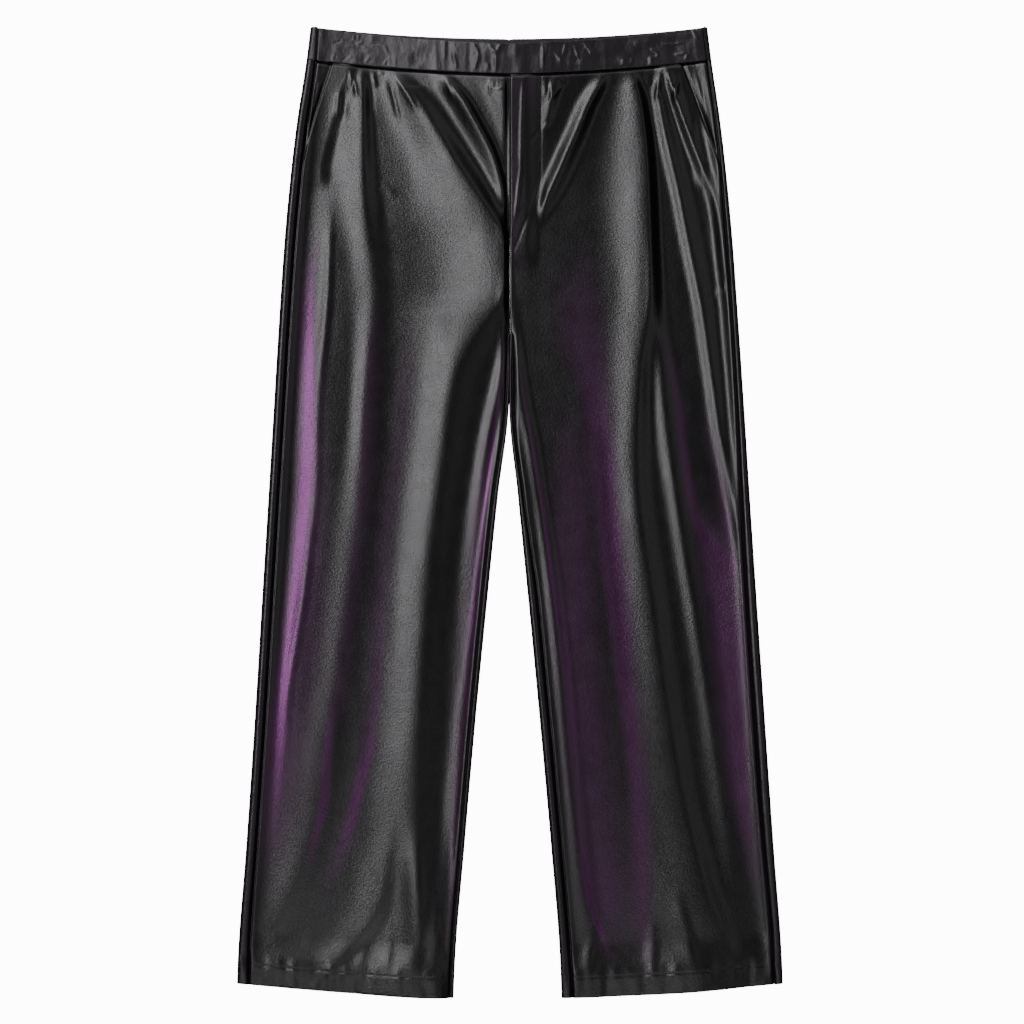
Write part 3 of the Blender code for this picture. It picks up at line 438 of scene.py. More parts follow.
def sign(side, edge="out"):
    """Which way is outwards: -1 to the wearer's right. An inner edge faces the other way."""
    return (-1.0 if side == "right" else 1.0) * (1.0 if edge == "out" else -1.0)


def seam_across(side, edge, down):
    """Distance across of an outseam (edge out) or an inseam (edge in), in from the outline."""
    return section(f"{side}_{edge}", down) - sign(side, edge) * section(f"{side}_{edge}seam", down)


def inset(side, edge, across, down):
    """Distance in from a leg's outline, from its outer or its inner edge."""
    return np.maximum(sign(side, edge) * (section(f"{side}_{edge}", down) - across), 0.0)


def pocket_line(side, down):
    """Distance across of the slanted pocket edge: a straight line with half a sine of bow."""
    pocket = POCKETS[side]
    end_across = seam_across(side, "out", pocket.end_down)
    t = (down - pocket.top_down) / (pocket.end_down - pocket.top_down)
    bow = pocket.bow * np.sin(np.pi * np.clip(t, 0.0, 1.0))
    return pocket.top_across + (end_across - pocket.top_across) * t - bow


def rolled(distance, radius):
    """Height of an edge rolled to a half circle, by the distance in from the outline."""
    reach = np.clip(radius - distance, 0.0, radius)
    return radius + np.sqrt(radius**2 - reach**2)


def softened(places, values, at):
    """The curve through a table, averaged with itself a little farther up and farther down."""
    return sum(share * through(places, values, at + shift)
               for share, shift in ((0.25, -SOFTEN), (0.5, 0.0), (0.25, SOFTEN)))


def fold_heights(folds, across, down):
    """Sum of ridges: each rises over its reach as ease(v), v the share of the way to a power."""
    total = np.zeros(np.broadcast(across, down).shape)
    along = np.arange(LENGTH + 1.0)
    for rows in folds.values():
        at = [c.down for c in rows]
        curves = {name: softened(at, [getattr(c, name) for c in rows], along)
                  for name in ("across", "height", "left", "right")}
        curves["lean"] = np.gradient(curves["across"])
        crest, height, left, right, lean = (np.interp(down, along, curve)
                                            for curve in curves.values())
        off = (across - crest) / np.sqrt(1.0 + lean**2)
        share = np.clip(1.0 - abs(off) / np.where(off < 0.0, left, right), 0.0, 1.0)
        total += height * ease(0.0, 1.0, share ** CRISP)
    return total


def creases(rows, across, down):
    """Sum of bells across each crease's bowed line, eased in and out along its length."""
    total = np.zeros(np.broadcast(across, down).shape)
    for c in rows:
        run_across, run_down = c.end_across - c.across, c.end_down - c.down
        length = np.hypot(run_across, run_down)
        t = ((across - c.across) * run_across + (down - c.down) * run_down) / length**2
        off = ((across - c.across) * run_down - (down - c.down) * run_across) / length
        off = off - c.bow * np.sin(np.pi * np.clip(t, 0.0, 1.0))
        along = ease(0.0, CREASE_END, t) * (1.0 - ease(1.0 - CREASE_END, 1.0, t))
        total += c.height * along * bell(off, np.where(off < 0.0, c.left, c.right))
    return total


def crumple(across, down, wide, long, seed):
    """Random heights from -1 to 1 at the points of a wide by long lattice, eased in between."""
    lattice = np.random.default_rng(seed).uniform(-1.0, 1.0, (LATTICE, LATTICE))
    u, v = across / wide + LATTICE / 2, down / long + LATTICE_START
    i, j = np.floor(u).astype(int), np.floor(v).astype(int)
    fu, fv = ease(0.0, 1.0, u - i), ease(0.0, 1.0, v - j)
    upper = lattice[i, j] * (1.0 - fu) + lattice[i + 1, j] * fu
    lower = lattice[i, j + 1] * (1.0 - fu) + lattice[i + 1, j + 1] * fu
    return upper * (1.0 - fv) + lower * fv


def bed(side, across, down):
    """Height of the face without its folds: valley, lifted waist and hem, and rolled edges."""
    below = np.maximum(down - waist_seam(across), 0.0)
    to_hem = np.maximum(hem(across) - down, 0.0)
    gape = HEM_GAPES[side]
    opened = gape.height * bell(across - gape.across, gape.width)
    level = (VALLEY + WAIST_LIFT * bell(below, WAIST_REACH)
             + MOUTH_LIFT * bell(across, MOUTH_WIDTH) * bell(below, MOUTH_REACH)
             + HEM_LIFT * (1.0 - ease(HEM_DEPTH - HEM_BEND, HEM_LIFT_REACH, to_hem))
             + opened * (1.0 - ease(HEM_DEPTH - HEM_BEND, gape.reach, to_hem)))
    height = level
    for edge, shoulder, start in (("out", OUT_SHOULDER, 0.0), ("in", IN_SHOULDER, LEG_START)):
        roll, off = section(f"{edge}_roll", down), inset(side, edge, across, down)
        rounding = (2 * roll - level) * bell(np.maximum(off - roll, 0.0), shoulder)
        rounding -= 2 * roll - rolled(off, roll)
        height = height + np.where(down >= start, rounding, 0.0)
    return height


def hem_wall(across, down):
    """Thickness of the cloth, doubled by the turned-up hem."""
    return CLOTH * (2.0 - ease(HEM_DEPTH, HEM_DEPTH + HEM_BEND, hem(across) - down))


def grooves(side, across, down):
    """Depth of the dips along the outseam, the inseam and the centre seam: bells across them."""
    wall = hem_wall(across, down)
    depth = np.zeros(np.broadcast(across, down).shape)
    for edge, start in (("out", 0.0), ("in", LEG_START)):
        free = 2 * section(f"{edge}_roll", down) - 2 * wall - GROOVE_SPARE
        off = across - seam_across(side, edge, down)
        dip = np.clip(free, 0.0, GROOVE) * bell(off, GROOVE_WIDTH)
        depth += np.where(down >= start, dip, 0.0)
    return depth


def face(side, across, down):
    """Height of the front's outer face: its bed, plus folds that fade out at edges and waist."""
    out_roll = section("out_roll", down)
    at_edges = ease(out_roll, out_roll + OUT_FADE, inset(side, "out", across, down))
    at_edges = at_edges * (1.0 - (1.0 - ease(*IN_FADE, inset(side, "in", across, down)))
                           * ease(CROTCH + LEG_FADE[0], CROTCH + LEG_FADE[1], down))
    at_waist = ease(*WAIST_FADE, down - waist_seam(across))
    torso = 1.0 - ease(CROTCH - TORSO_FADE, CROTCH, down)
    folds = (fold_heights(FOLDS[side], across, down)
             + torso * fold_heights(FOLDS[OTHER[side]], across, down))
    fly_edge = ease(FLY_WIDTH + FLY_EDGE_FADE[0], FLY_WIDTH + FLY_EDGE_FADE[1], across)
    stiff = 1.0 - FLY_STIFF * torso * ease(*FLY_FADE, across) * (1.0 - fly_edge)
    small = creases(CREASES[side], across, down) + CRUMPLE * crumple(across, down, *CLOTH_CRUMPLE)
    height = bed(side, across, down) + at_edges * at_waist * (stiff * folds + small)
    return height - grooves(side, across, down)


def overlay(side, across, down):
    """How far a front is lifted by what it lies on: the pocket facing, and at the left the fly."""
    end = POCKETS[side].end_down
    inwards = sign(side) * (pocket_line(side, np.minimum(down, end)) - across) - POCKET_UNDERLAP
    lift = (1.0 - ease(*FACING_EASE, inwards)) * (1.0 - ease(*FACING_END, down - end))
    if side == "left":
        fly = (1.0 - ease(FLY_UNDERLAP + FLY_EASE, FLY_WIDTH, across)) * (
            1.0 - ease(FLY_END, FLY_END + FLY_RUNOUT, down))
        lift = np.maximum(lift, fly)
    return OVERLAY * lift


def stitched(side, across, down):
    """Depth drawn in by stitching: along the hem, with puckers, and at the left along the fly."""
    to_hem = hem(across) - down
    pucker = crumple(across, to_hem, *HEM_CRUMPLE)
    depth = (HEM_STITCH_DIP * bell(to_hem - HEM_DEPTH, STITCH_WIDTH)
             - PUCKER * pucker * (1.0 - ease(HEM_DEPTH, HEM_DEPTH + PUCKER_FADE, to_hem))
             + HEM_ROUND * bell(to_hem, HEM_ROUND_WIDTH))
    if side == "left":
        lean = fly_line(down) - fly_line(down - 1.0)
        off = (across - fly_line(down)) / np.sqrt(1.0 + lean**2)
        depth += np.where(down < FLY_CURVE_DOWN[-1], STITCH_DIP * bell(off, STITCH_WIDTH), 0.0)
    return depth


def painted_reflection_share(side, across, down):
    """How strongly the purple reflection is painted in, from 0 to 1."""
    return np.clip(fold_heights(PAINTED_REFLECTIONS[side], across, down), 0.0, 1.0)


def crowded(count, crowding):
    """Places from 0 to 1, closer together towards both ends: u less a share of a sine of it."""
    u = np.linspace(0.0, 1.0, count)
    return u - crowding * np.sin(2 * np.pi * u) / (2 * np.pi)


def placed(across, down, height):
    """Points in metres from places on the garment."""
    return np.stack(np.broadcast_arrays(across, LENGTH / 2 - down, height), axis=-1) * MM


def points_inwards(outer, inner):
    """Whether a grid's faces, taken row by row, point from its outer to its inner side."""
    row, column = outer.shape[0] // 2, outer.shape[1] // 2
    corner = outer[row, column]
    normal = np.cross(outer[row, column + 1] - corner, outer[row + 1, column] - corner)
    return normal @ (corner - inner[row, column]) < 0.0


def cloth(node, outer, inner, material, slot, painted_reflection, rests_on, **cut):
    """Closed thin wall: a fine outer grid, a coarser inner one, and a rim of longer faces.

    It stands for its node, and the given cut is not used.
    """
    rows, columns = outer.shape[:2]
    number = np.arange(rows * columns).reshape(rows, columns)
    under = number[::GRID_STRIDE, ::GRID_STRIDE]
    low = rows * columns + np.arange(under.size).reshape(under.shape)
    top_faces = np.stack([number[:-1, :-1], number[:-1, 1:], number[1:, 1:], number[1:, :-1]], -1)
    low_faces = np.stack([low[:-1, :-1], low[1:, :-1], low[1:, 1:], low[:-1, 1:]], -1)
    loops = [top_faces.reshape(-1, 4), low_faces.reshape(-1, 4)]
    for fine, coarse in ((number[0], low[0]), (number[-1][::-1], low[-1][::-1]),
                         (number[:, 0][::-1], low[:, 0][::-1]), (number[:, -1], low[:, -1])):
        stretches = np.stack([fine[i:len(fine) - GRID_STRIDE + i:GRID_STRIDE]
                              for i in range(GRID_STRIDE)] + [fine[GRID_STRIDE::GRID_STRIDE]], -1)
        loops.append(np.concatenate([stretches[:, ::-1], coarse[:-1, None], coarse[1:, None]], -1))
    if points_inwards(outer, inner):
        loops = [loop[:, ::-1] for loop in loops]
    sizes = np.concatenate([np.full(len(loop), loop.shape[1]) for loop in loops])
    corners_of = np.concatenate([loop.ravel() for loop in loops])
    coarse_inner = inner[::GRID_STRIDE, ::GRID_STRIDE].reshape(-1, 3)
    points = np.concatenate([outer.reshape(-1, 3), coarse_inner])
    name = f"cloth_{node}"
    mesh = bpy.data.meshes.new(name)
    mesh.vertices.add(len(points))
    mesh.vertices.foreach_set("co", points.astype(np.float32).ravel())
    mesh.loops.add(len(corners_of))
    mesh.loops.foreach_set("vertex_index", corners_of.astype(np.int32))
    mesh.polygons.add(len(sizes))
    mesh.polygons.foreach_set("loop_start", np.r_[0, np.cumsum(sizes)[:-1]].astype(np.int32))
    mesh.update(calc_edges=True)
    mesh.shade_smooth()
    mesh.set_sharp_from_angle(angle=np.radians(SHARP))
    # The painted purple reflection goes with the mesh as an attribute at each point.
    shade = np.r_[painted_reflection.ravel(), painted_reflection[::GRID_STRIDE, ::GRID_STRIDE].ravel()]
    attribute = mesh.attributes.new("painted_reflection", "FLOAT", "POINT")
    attribute.data.foreach_set("value", shade.astype(np.float32))
    mesh.materials.append(material)
    piece = in_scene(name, mesh)
    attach(piece, "root")
    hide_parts(node)


class Wire:
    """A shader value that does sums: + - and * add Math nodes."""

    def __init__(self, tree, socket):
        self.tree, self.socket = tree, socket

    def node(self, kind, settings=(), output=0, **sockets):
        """A new node: its type, its settings, then its sockets by name, or by number as i0."""
        node = self.tree.nodes.new(kind)
        for key, value in dict(settings).items():
            setattr(node, key, value)
        for key, value in sockets.items():
            target = node.inputs[int(key[1:]) if key[1:].isdigit() else key]
            if isinstance(value, Wire):
                self.tree.links.new(value.socket, target)
            else:
                target.default_value = value
        return Wire(self.tree, node.outputs[output])

    def math(self, operation, first, second):
        """A Math node on two values."""
        return self.node("ShaderNodeMath", {"operation": operation}, i0=first, i1=second)

    def __add__(self, other):
        return self.math("ADD", self, other)

    def __sub__(self, other):
        return self.math("SUBTRACT", self, other)

    def __rsub__(self, other):
        return self.math("SUBTRACT", other, self)

    def __mul__(self, other):
        return self.math("MULTIPLY", self, other)

    __radd__, __rmul__ = __add__, __mul__


# Coated cloth: black, smooth, with a fine pebbled grain that breaks up its highlights, and a
# purple reflection painted into its colour and metal where its attribute says so.
BLACK, ROUGH = (0.0020, 0.0013, 0.0021, 1.0), 0.31
# The painted purple reflection: a purple colour, and how far it turns the cloth metallic so that it
# shows in the highlights.
PAINTED_REFLECTION_PURPLE, PAINTED_REFLECTION_METAL = (0.085, 0.030, 0.085, 1.0), 0.9
# Scale, detail and roughness of the noises that are the grain, its pebbles and the mottle.
NOISES = [(1100.0, 3.0, 0.6), (420.0, 2.0, 0.5), (55.0, 4.0, 0.55)]
MOTTLE_LEAST, MOTTLE_SPREAD = 0.7, 0.6      # what the mottle leaves of the painted purple reflection
MOTTLE_ROUGH, GRAIN_ROUGH = 0.10, 0.08
GRAIN_HEIGHT, PEBBLE_HEIGHT = 0.5, 1.6
RELIEF, RELIEF_DEPTH = 0.35, 0.0003


def faux_leather(name, black=BLACK, rough=ROUGH):
    """Black mixed with a painted purple reflection by the attribute, mottled a little, over a bump of
    two noises.
    """
    material, surface = finish_of(name, black, rough)
    tree = material.node_tree
    start = Wire(tree, None)
    place = start.node("ShaderNodeTexCoord", output="Object")
    painted_reflection = start.node("ShaderNodeAttribute", {"attribute_name": "painted_reflection"}, output="Fac")
    grain, pebble, mottle = (
        start.node("ShaderNodeTexNoise", Vector=place, Scale=scale, Detail=detail, Roughness=rise)
        for scale, detail, rise in NOISES)
    # The painted purple reflection at each point, mottled a little.
    painted_reflection_mask = painted_reflection * (MOTTLE_LEAST + MOTTLE_SPREAD * mottle)
    colour = start.node("ShaderNodeMix", {"data_type": "RGBA"}, output=2,
                        i0=painted_reflection_mask, i6=black, i7=PAINTED_REFLECTION_PURPLE)
    bump = start.node("ShaderNodeBump", Strength=RELIEF, Distance=RELIEF_DEPTH,
                      Height=grain * GRAIN_HEIGHT + pebble * PEBBLE_HEIGHT)
    # Metal makes the painted purple show mostly in the highlights.
    metal = painted_reflection_mask * PAINTED_REFLECTION_METAL
    roughness = rough + MOTTLE_ROUGH * (mottle - 0.5) + GRAIN_ROUGH * (grain - 0.5)
    for socket, wire in (("Base Color", colour), ("Metallic", metal),
                         ("Roughness", roughness), ("Normal", bump)):
        tree.links.new(wire.socket, surface.inputs[socket])
    return material


leather = faux_leather("faux_leather")

ROWS, COLUMNS, CROWDING = 393, 197, 0.7
FRONT_CUT = {"flat": (0.262, 1.012), "area": 0.226}
for side in ("right", "left"):
    s = sign(side)
    fraction = crowded(ROWS, CROWDING)[:, None]
    steps = crowded(COLUMNS, CROWDING)
    down = SEAM_DOWN + (LENGTH - SEAM_DOWN) * fraction
    # The edges depend on the distance down, and the waist and the hem on the distance across,
    # so a few rounds settle the two.
    for _ in range(5):
        centre = s * CLOSED_GAP / 2 + 0.0 * down
        if side == "right":
            centre = centre + FLY_UNDERLAP * (1.0 - ease(UNDERLAP_TAPER, UNDERLAP_END, down))
        inseam = seam_across(side, "in", down) + s * SEAM_GAP / 2
        inner_edge = np.where(down >= CROTCH + CROTCH_LAP, inseam, centre)
        outer_edge = seam_across(side, "out", down) - s * SEAM_GAP / 2
        slant = pocket_line(side, down)
        outer_edge = np.where(s * slant < s * outer_edge, slant, outer_edge)
        across = inner_edge + (outer_edge - inner_edge) * steps
        top = waist_seam(across) + SEAM_GAP / 2
        down = top + (hem(across) - top) * fraction
    from_edge = np.minimum(abs(across - inner_edge), abs(across - outer_edge))
    height = face(side, across, down) + overlay(side, across, down) - stitched(side, across, down)
    height -= LIP * bell(from_edge, LIP_WIDTH)
    height -= DIVE * bell(down - waist_seam(across), DIVE_WIDTH)
    low = height - hem_wall(across, down)
    # The fronts' painted purple reflection comes from their tables.
    cloth(f"front_{side}", placed(across, down, height), placed(across, down, low), leather,
          "faux_leather", painted_reflection_share(side, across, down),
          [f"cloth_back_{side}", f"cloth_pocket_facing_{side}"], **FRONT_CUT)


# ---- Pocket facings --------------------
# The cloth seen in the mouth of each slanted pocket: the same coated cloth, painted darker as shade.
# It is sewn in at the outseam and the waistband, and the front lies on its inner part.
# The facing's black is darker than the front's: painted shade in the pocket's mouth.
FACING_SHADED_BLACK, FACING_ROUGH = (0.0016, 0.0010, 0.0017, 1.0), 0.34
FACING_PAINTED_REFLECTION = 0.5                 # the painted purple reflection, as a share of the front's
FACING_ROWS, FACING_COLUMNS, FACING_CROWDING = 121, 41, 0.5
FACING_DIP, FACING_DIP_PLACE, FACING_DIP_WIDTH = 1.2, 1.0, 2.2
FACING_FLAT, FACING_AREAS = (0.046, 0.112), {"right": 0.0027, "left": 0.0036}
FACING_CREASES = {
    "right": [
        Crease(-203, 52, -211, 92, 0.5, 1.8, 2.2, 1),
        Crease(-208, 44, -216.5, 122, 0.6, 1.6, 1.6),
    ],
    "left": [
        Crease(195.5, 42, 212, 106, 0.6, 1.8, 1.8, 1),
        Crease(203, 56, 213, 122, -0.4, 2.5, 2.5),
    ],
}

shaded_facing_leather = faux_leather("faux_leather_facing", FACING_SHADED_BLACK, FACING_ROUGH)
for side in ("right", "left"):
    s = sign(side)
    end_down = POCKETS[side].end_down
    fraction = crowded(FACING_ROWS, FACING_CROWDING)[:, None]
    steps = crowded(FACING_COLUMNS, FACING_CROWDING)
    down = SEAM_DOWN + (end_down - SEAM_DOWN) * fraction
    for _ in range(4):
        outer_edge = seam_across(side, "out", down) - s * SEAM_GAP / 2
        inner_edge = pocket_line(side, down) - s * POCKET_UNDERLAP
        across = inner_edge + (outer_edge - inner_edge) * steps
        top = waist_seam(across) + SEAM_GAP / 2
        down = top + (end_down - top) * fraction
    outside = s * (across - pocket_line(side, down))
    height = face(side, across, down) + creases(FACING_CREASES[side], across, down)
    height -= FACING_DIP * bell(outside - FACING_DIP_PLACE, FACING_DIP_WIDTH)
    height -= LIP * bell(across - outer_edge, LIP_WIDTH)
    height -= DIVE * bell(down - waist_seam(across), DIVE_WIDTH)
    cloth(f"pocket_facing_{side}", placed(across, down, height),
          placed(across, down, height - CLOTH), shaded_facing_leather, "faux_leather_facing",
          FACING_PAINTED_REFLECTION * painted_reflection_share(side, across, down), [f"cloth_back_{side}"],
          flat=FACING_FLAT, area=FACING_AREAS[side])


# ---- Backs --------------------
# Two backs of the same cloth, flat on the table. They are cut wider than the fronts and roll up
# round the edges of the legs, to the outseams and inseams that lie on top.
IN_COLUMNS, FLAT_COLUMNS, OUT_COLUMNS = 25, 31, 33
FACE_SHARE = 0.3                    # share of a rolled edge's columns that lie on the face
CENTRE_STRIP = 4.0                  # the torso has no inner edge: its columns lie beside the seam
UNDERSIDE_CREASE = 0.09             # the folds of the front show faintly as troughs below
# A faint purple reflection is painted where the backs roll up round the edges.
EDGE_PAINTED_REFLECTION = 0.02
BACK_CUT = {"flat": (0.290, 1.012), "area": 0.262}


def sewn_face(side, across, down):
    """The face as it is after sewing: drawn in along the hem and at the left fly."""
    return face(side, across, down) - stitched(side, across, down)


def wrapped(side, edge, q, down, wall, face_height):
    """Outer and inner places of a rolled edge, each across and high.

    From the seam on the face (q = 0) it runs straight to the roll, then round half a circle, down
    to the floor (q = 1).
    """
    s = sign(side, edge)
    radius = section(f"{edge}_roll", down)
    outline = section(f"{side}_{edge}", down)
    seam = section(f"{side}_{edge}seam", down) - SEAM_GAP / 2
    run = q / FACE_SHARE
    angle = np.pi / 2 - np.pi * np.clip((q - FACE_SHARE) / (1.0 - FACE_SHARE), 0.0, 1.0)
    on_face = q < FACE_SHARE
    distance = np.where(on_face, seam + (np.minimum(radius, seam) - seam) * run,
                        radius * (1.0 - np.cos(angle)))
    across = outline - s * distance
    high = face_height(side, across, down)
    lift = (high - rolled(distance, radius)) * np.clip(np.sin(angle), 0.0, 1.0)
    high = high - LIP * bell(seam - distance, LIP_WIDTH)
    within = radius - wall
    across_in = np.where(on_face, across, outline - s * (radius - within * np.cos(angle)))
    outer_high = np.where(on_face, high, radius * (1.0 + np.sin(angle)) + lift)
    inner_high = np.where(on_face, high - wall, radius + within * np.sin(angle) + lift)
    return across, outer_high, across_in, inner_high


def back_places(side, down):
    """Places of a back's columns: its inner edge, the flat on the floor and its outer edge."""
    s = sign(side)
    wall = hem_wall(section(f"{side}_out", down), down)
    inner_q, outer_q = np.linspace(0.0, 1.0, IN_COLUMNS), np.linspace(1.0, 0.0, OUT_COLUMNS)
    shares = np.linspace(0.0, 1.0, FLAT_COLUMNS + 2)[1:-1]
    first, last = slice(0, IN_COLUMNS), slice(IN_COLUMNS + FLAT_COLUMNS, None)
    middle = slice(IN_COLUMNS, IN_COLUMNS + FLAT_COLUMNS)
    leg = down[:, :1] >= CROTCH
    strip = s * (CLOSED_GAP / 2 + CENTRE_STRIP * inner_q)
    torso = (strip, 0.0, strip, wall[:, first])
    inner = [np.where(leg, of_leg, of_torso) for of_leg, of_torso in zip(
        wrapped(side, "in", inner_q, down[:, first], wall[:, first], sewn_face), torso)]
    outer = wrapped(side, "out", outer_q, down[:, last], wall[:, last], sewn_face)
    start, end = inner[0][:, -1:], outer[0][:, :1]
    across = start + (end - start) * shares
    trough = UNDERSIDE_CREASE * np.sin(np.pi * shares) ** 0.5
    trough = trough * fold_heights(FOLDS[side], across, down[:, middle])
    trough += STITCH_DIP * bell(hem(across) - down[:, middle] - HEM_DEPTH, STITCH_WIDTH)
    flat = (across, trough, across, trough + wall[:, middle])
    return [np.concatenate(parts, axis=1) for parts in zip(inner, flat, outer)]


for side in ("right", "left"):
    fraction = crowded(ROWS, CROWDING)[:, None]
    down = np.repeat(SEAM_DOWN + (LENGTH - SEAM_DOWN) * fraction,
                     IN_COLUMNS + FLAT_COLUMNS + OUT_COLUMNS, axis=1)
    for _ in range(5):
        across, high, across_in, high_in = back_places(side, down)
        top = waist_seam(across) + CLOSED_GAP / 2
        down = top + (hem(across) - top) * fraction
    across, high, across_in, high_in = back_places(side, down)
    # The painted purple reflection lies only where the cloth rolls up above the flat.
    cloth(f"back_{side}", placed(across, down, high), placed(across_in, down, high_in), leather,
          "faux_leather", np.where(high > 2 * CLOTH, EDGE_PAINTED_REFLECTION, 0.0), ["table"], **BACK_CUT)


# ---- Waistband --------------------
# A straight band of the same cloth folded over wide elastic, in a front and a back half that meet
# at the sides. The elastic draws it into small uneven creases. The back half hangs a little
# higher in the middle, where it shows behind the front.
# Thickness, roughness, and the strength of a purple reflection painted evenly over the band.
BAND, BAND_ROUGH, BAND_PAINTED_REFLECTION = 3.0, 0.37, 0.04
FRONT_TOP, FRONT_DIP, BACK_DIP = 0.9, 17.9, 12.0
BAND_PROUD, BAND_PROUD_REACH, BAND_LIP = 1.2, 12.0, 1.2
TOP_ROWS, BOTTOM_ROWS = 7, 5
TOP_TURN, BOTTOM_TURN = (-70.0, 90.0), (0.0, 80.0)    # degrees round the top and bottom edges
FRONT_BAND_ROWS, FRONT_BAND_COLUMNS = 73, 601
BACK_BAND_ROWS, BACK_BAND_WRAP, BACK_BAND_FLAT = 41, 25, 95
NOTCH, NOTCH_PLACE, NOTCH_WIDTH = 1.2, -2.0, 2.0
FRONT_BAND_FLAT, BACK_BAND_CUT = (0.415, 0.037), (0.452, 0.038)
Elastic = namedtuple("Elastic", "start end crinkles height")
ELASTIC = [
    Elastic(-196.0, -118.0, 4, 0.5),
    Elastic(-86.0, -11.0, 7, 0.7),
    Elastic(36.0, 107.0, 6, 0.7),
    Elastic(120.0, 200.0, 4, 0.6),
]
CRINKLE, CRINKLE_WIDTH = 0.5, 0.28
CRINKLE_SHIFT, CRINKLE_LEAN, CRINKLE_CHANGE = 0.16, 2.0, 0.2
SHIFT_STEP, LEAN_STEP, CHANGE_STEP = 2.4, 1.7, 1.9    # radians from one crinkle to the next
END_FADE = (2.0, 12.0)              # creases fade out this far in from the side seams
CREASE_SHARE, CRUMPLE_HEIGHT = (0.38, 1.0, -130.0, 60.0), (0.42, 0.60, 0.0, 60.0)
WRINKLE_HEIGHT = 0.06
BAND_CRUMPLE, BAND_WRINKLE = (11.0, 12.0, 3), (3.0, 5.0, 5)    # wide, long and the seed
BAND_CREASES = [Crease(*row) for row in (
    (-204.2, 1, -204.2, 14, 0.5, 1.2, 1.2), (-200.9, 1, -200.9, 14, 0.5, 1.2, 1.2),
    (-207, 23, -198, 24.5, -0.6, 1.6, 1.6, 0.5), (-189.5, 19, -178, 15, -0.6, 1.5, 1.5, 0.5),
    (-180.5, 15.2, -162.5, 17.6, -0.6, 1.5, 1.5, 1), (-167.3, 8, -167.3, 17, 0.5, 1.4, 1.4),
    (-162.1, 8, -162.1, 17, 0.5, 1.4, 1.4), (-153, 14.5, -169, 21.4, 0.6, 1.6, 1.6),
    (-166, 19.3, -151, 22.8, 0.6, 1.6, 1.6), (-148.1, 7, -148.1, 18.5, 0.9, 1.6, 4),
    (-151, 18.9, -137.5, 18.9, -0.5, 1.4, 1.4), (-137, 18, -129.4, 32.5, 0.7, 1.8, 1.8, 1),
    (-130, 30, -127.6, 43, 0.6, 1.8, 1.8), (-185, 25, -165.5, 27, -0.7, 4, 4, 1),
    (-152.5, 26, -138, 27, -0.6, 4, 4), (-190, 37, -186.5, 28.5, 0.5, 1.4, 1.4, 0.5),
    (-187.5, 29.5, -174, 30.5, 0.5, 1.4, 1.4, -4), (-177.5, 39, -168, 31, 0.7, 2.4, 2.4),
    (-156, 41, -148.5, 31, 0.7, 1.8, 1.8, 0.5), (-136, 43, -129.5, 33, 0.7, 1.8, 1.8),
    (-70, 12, -70, 37, 0.8, 2.2, 2, 0.5), (-62.5, 25, -56.5, 50, 0.8, 2.2, 2, 0.8),
    (-40.5, 18, -34.5, 31, 0.8, 2, 2, 0.8), (-34.7, 29, -38, 49, 0.8, 2, 2, 0.5),
    (-34.2, 21, -33.2, 42, 0.6, 1.8, 1.8), (-24, 18.5, -14.6, 32.5, 0.8, 2, 2, 0.5),
    (-8.6, 18.5, -15.2, 32.5, 0.8, 2, 2, -0.5), (-14.9, 30, -14.9, 50, 0.8, 2, 2),
    (-23.5, 39, -23, 50, 0.6, 3, 2), (5, 16, 5.5, 38, 0.7, 6, 3.5),
    (35.4, 15, 35.4, 52, 0.9, 2.2, 1.6), (38.5, 17, 38.8, 33, 0.5, 2, 1.6),
    (45.5, 27, 56.5, 42, 0.7, 2, 2, 1), (60, 17, 56.5, 35, 0.7, 2, 1.8),
    (67.5, 17, 74.5, 37, 0.7, 2, 1.8), (70, 33, 70, 42, -0.6, 4, 4), (77.5, 17, 89, 33, 0.7, 2, 2, 1),
    (129, 15.4, 154.5, 15.4, 0.7, 5, 4, -2), (165, 8.8, 199, 8.6, 0.6, 3.6, 3.2, -1.5),
    (148.5, 22.5, 160, 30.2, 0.7, 1.8, 1.8, 0.5), (159.4, 29, 155.5, 33.5, 0.6, 1.6, 1.6),
    (151, 31, 151, 42, 0.7, 2.6, 1.8), (120.9, 34, 120.9, 43, 0.6, 2, 1.6),
    (130.3, 32, 130.3, 42, 0.6, 2, 1.6), (174, 30.2, 190, 28.2, 0.7, 1.6, 1.6, -0.6),
    (189.3, 28.2, 187.5, 37, 0.6, 1.6, 1.6, 0.4), (160, 18, 187, 16.6, 0.6, 1.5, 1.5, -2),
    (194, 1.5, 201, 14.5, 0.6, 1.6, 1.6),
)]


def front_top(across):
    """Distance down of the front band's top edge: it hangs lowest in the middle."""
    return FRONT_TOP + FRONT_DIP * (1.0 - np.minimum(abs(across) / HALF_WAIST, 1.0) ** 1.5)


def back_top(across):
    """Distance down of the back band's top edge, with a small notch at its centre seam."""
    hang = BACK_DIP * (1.0 - np.minimum(abs(across) / HALF_WAIST, 1.0) ** 2)
    return hang + NOTCH * bell(across - NOTCH_PLACE, NOTCH_WIDTH)


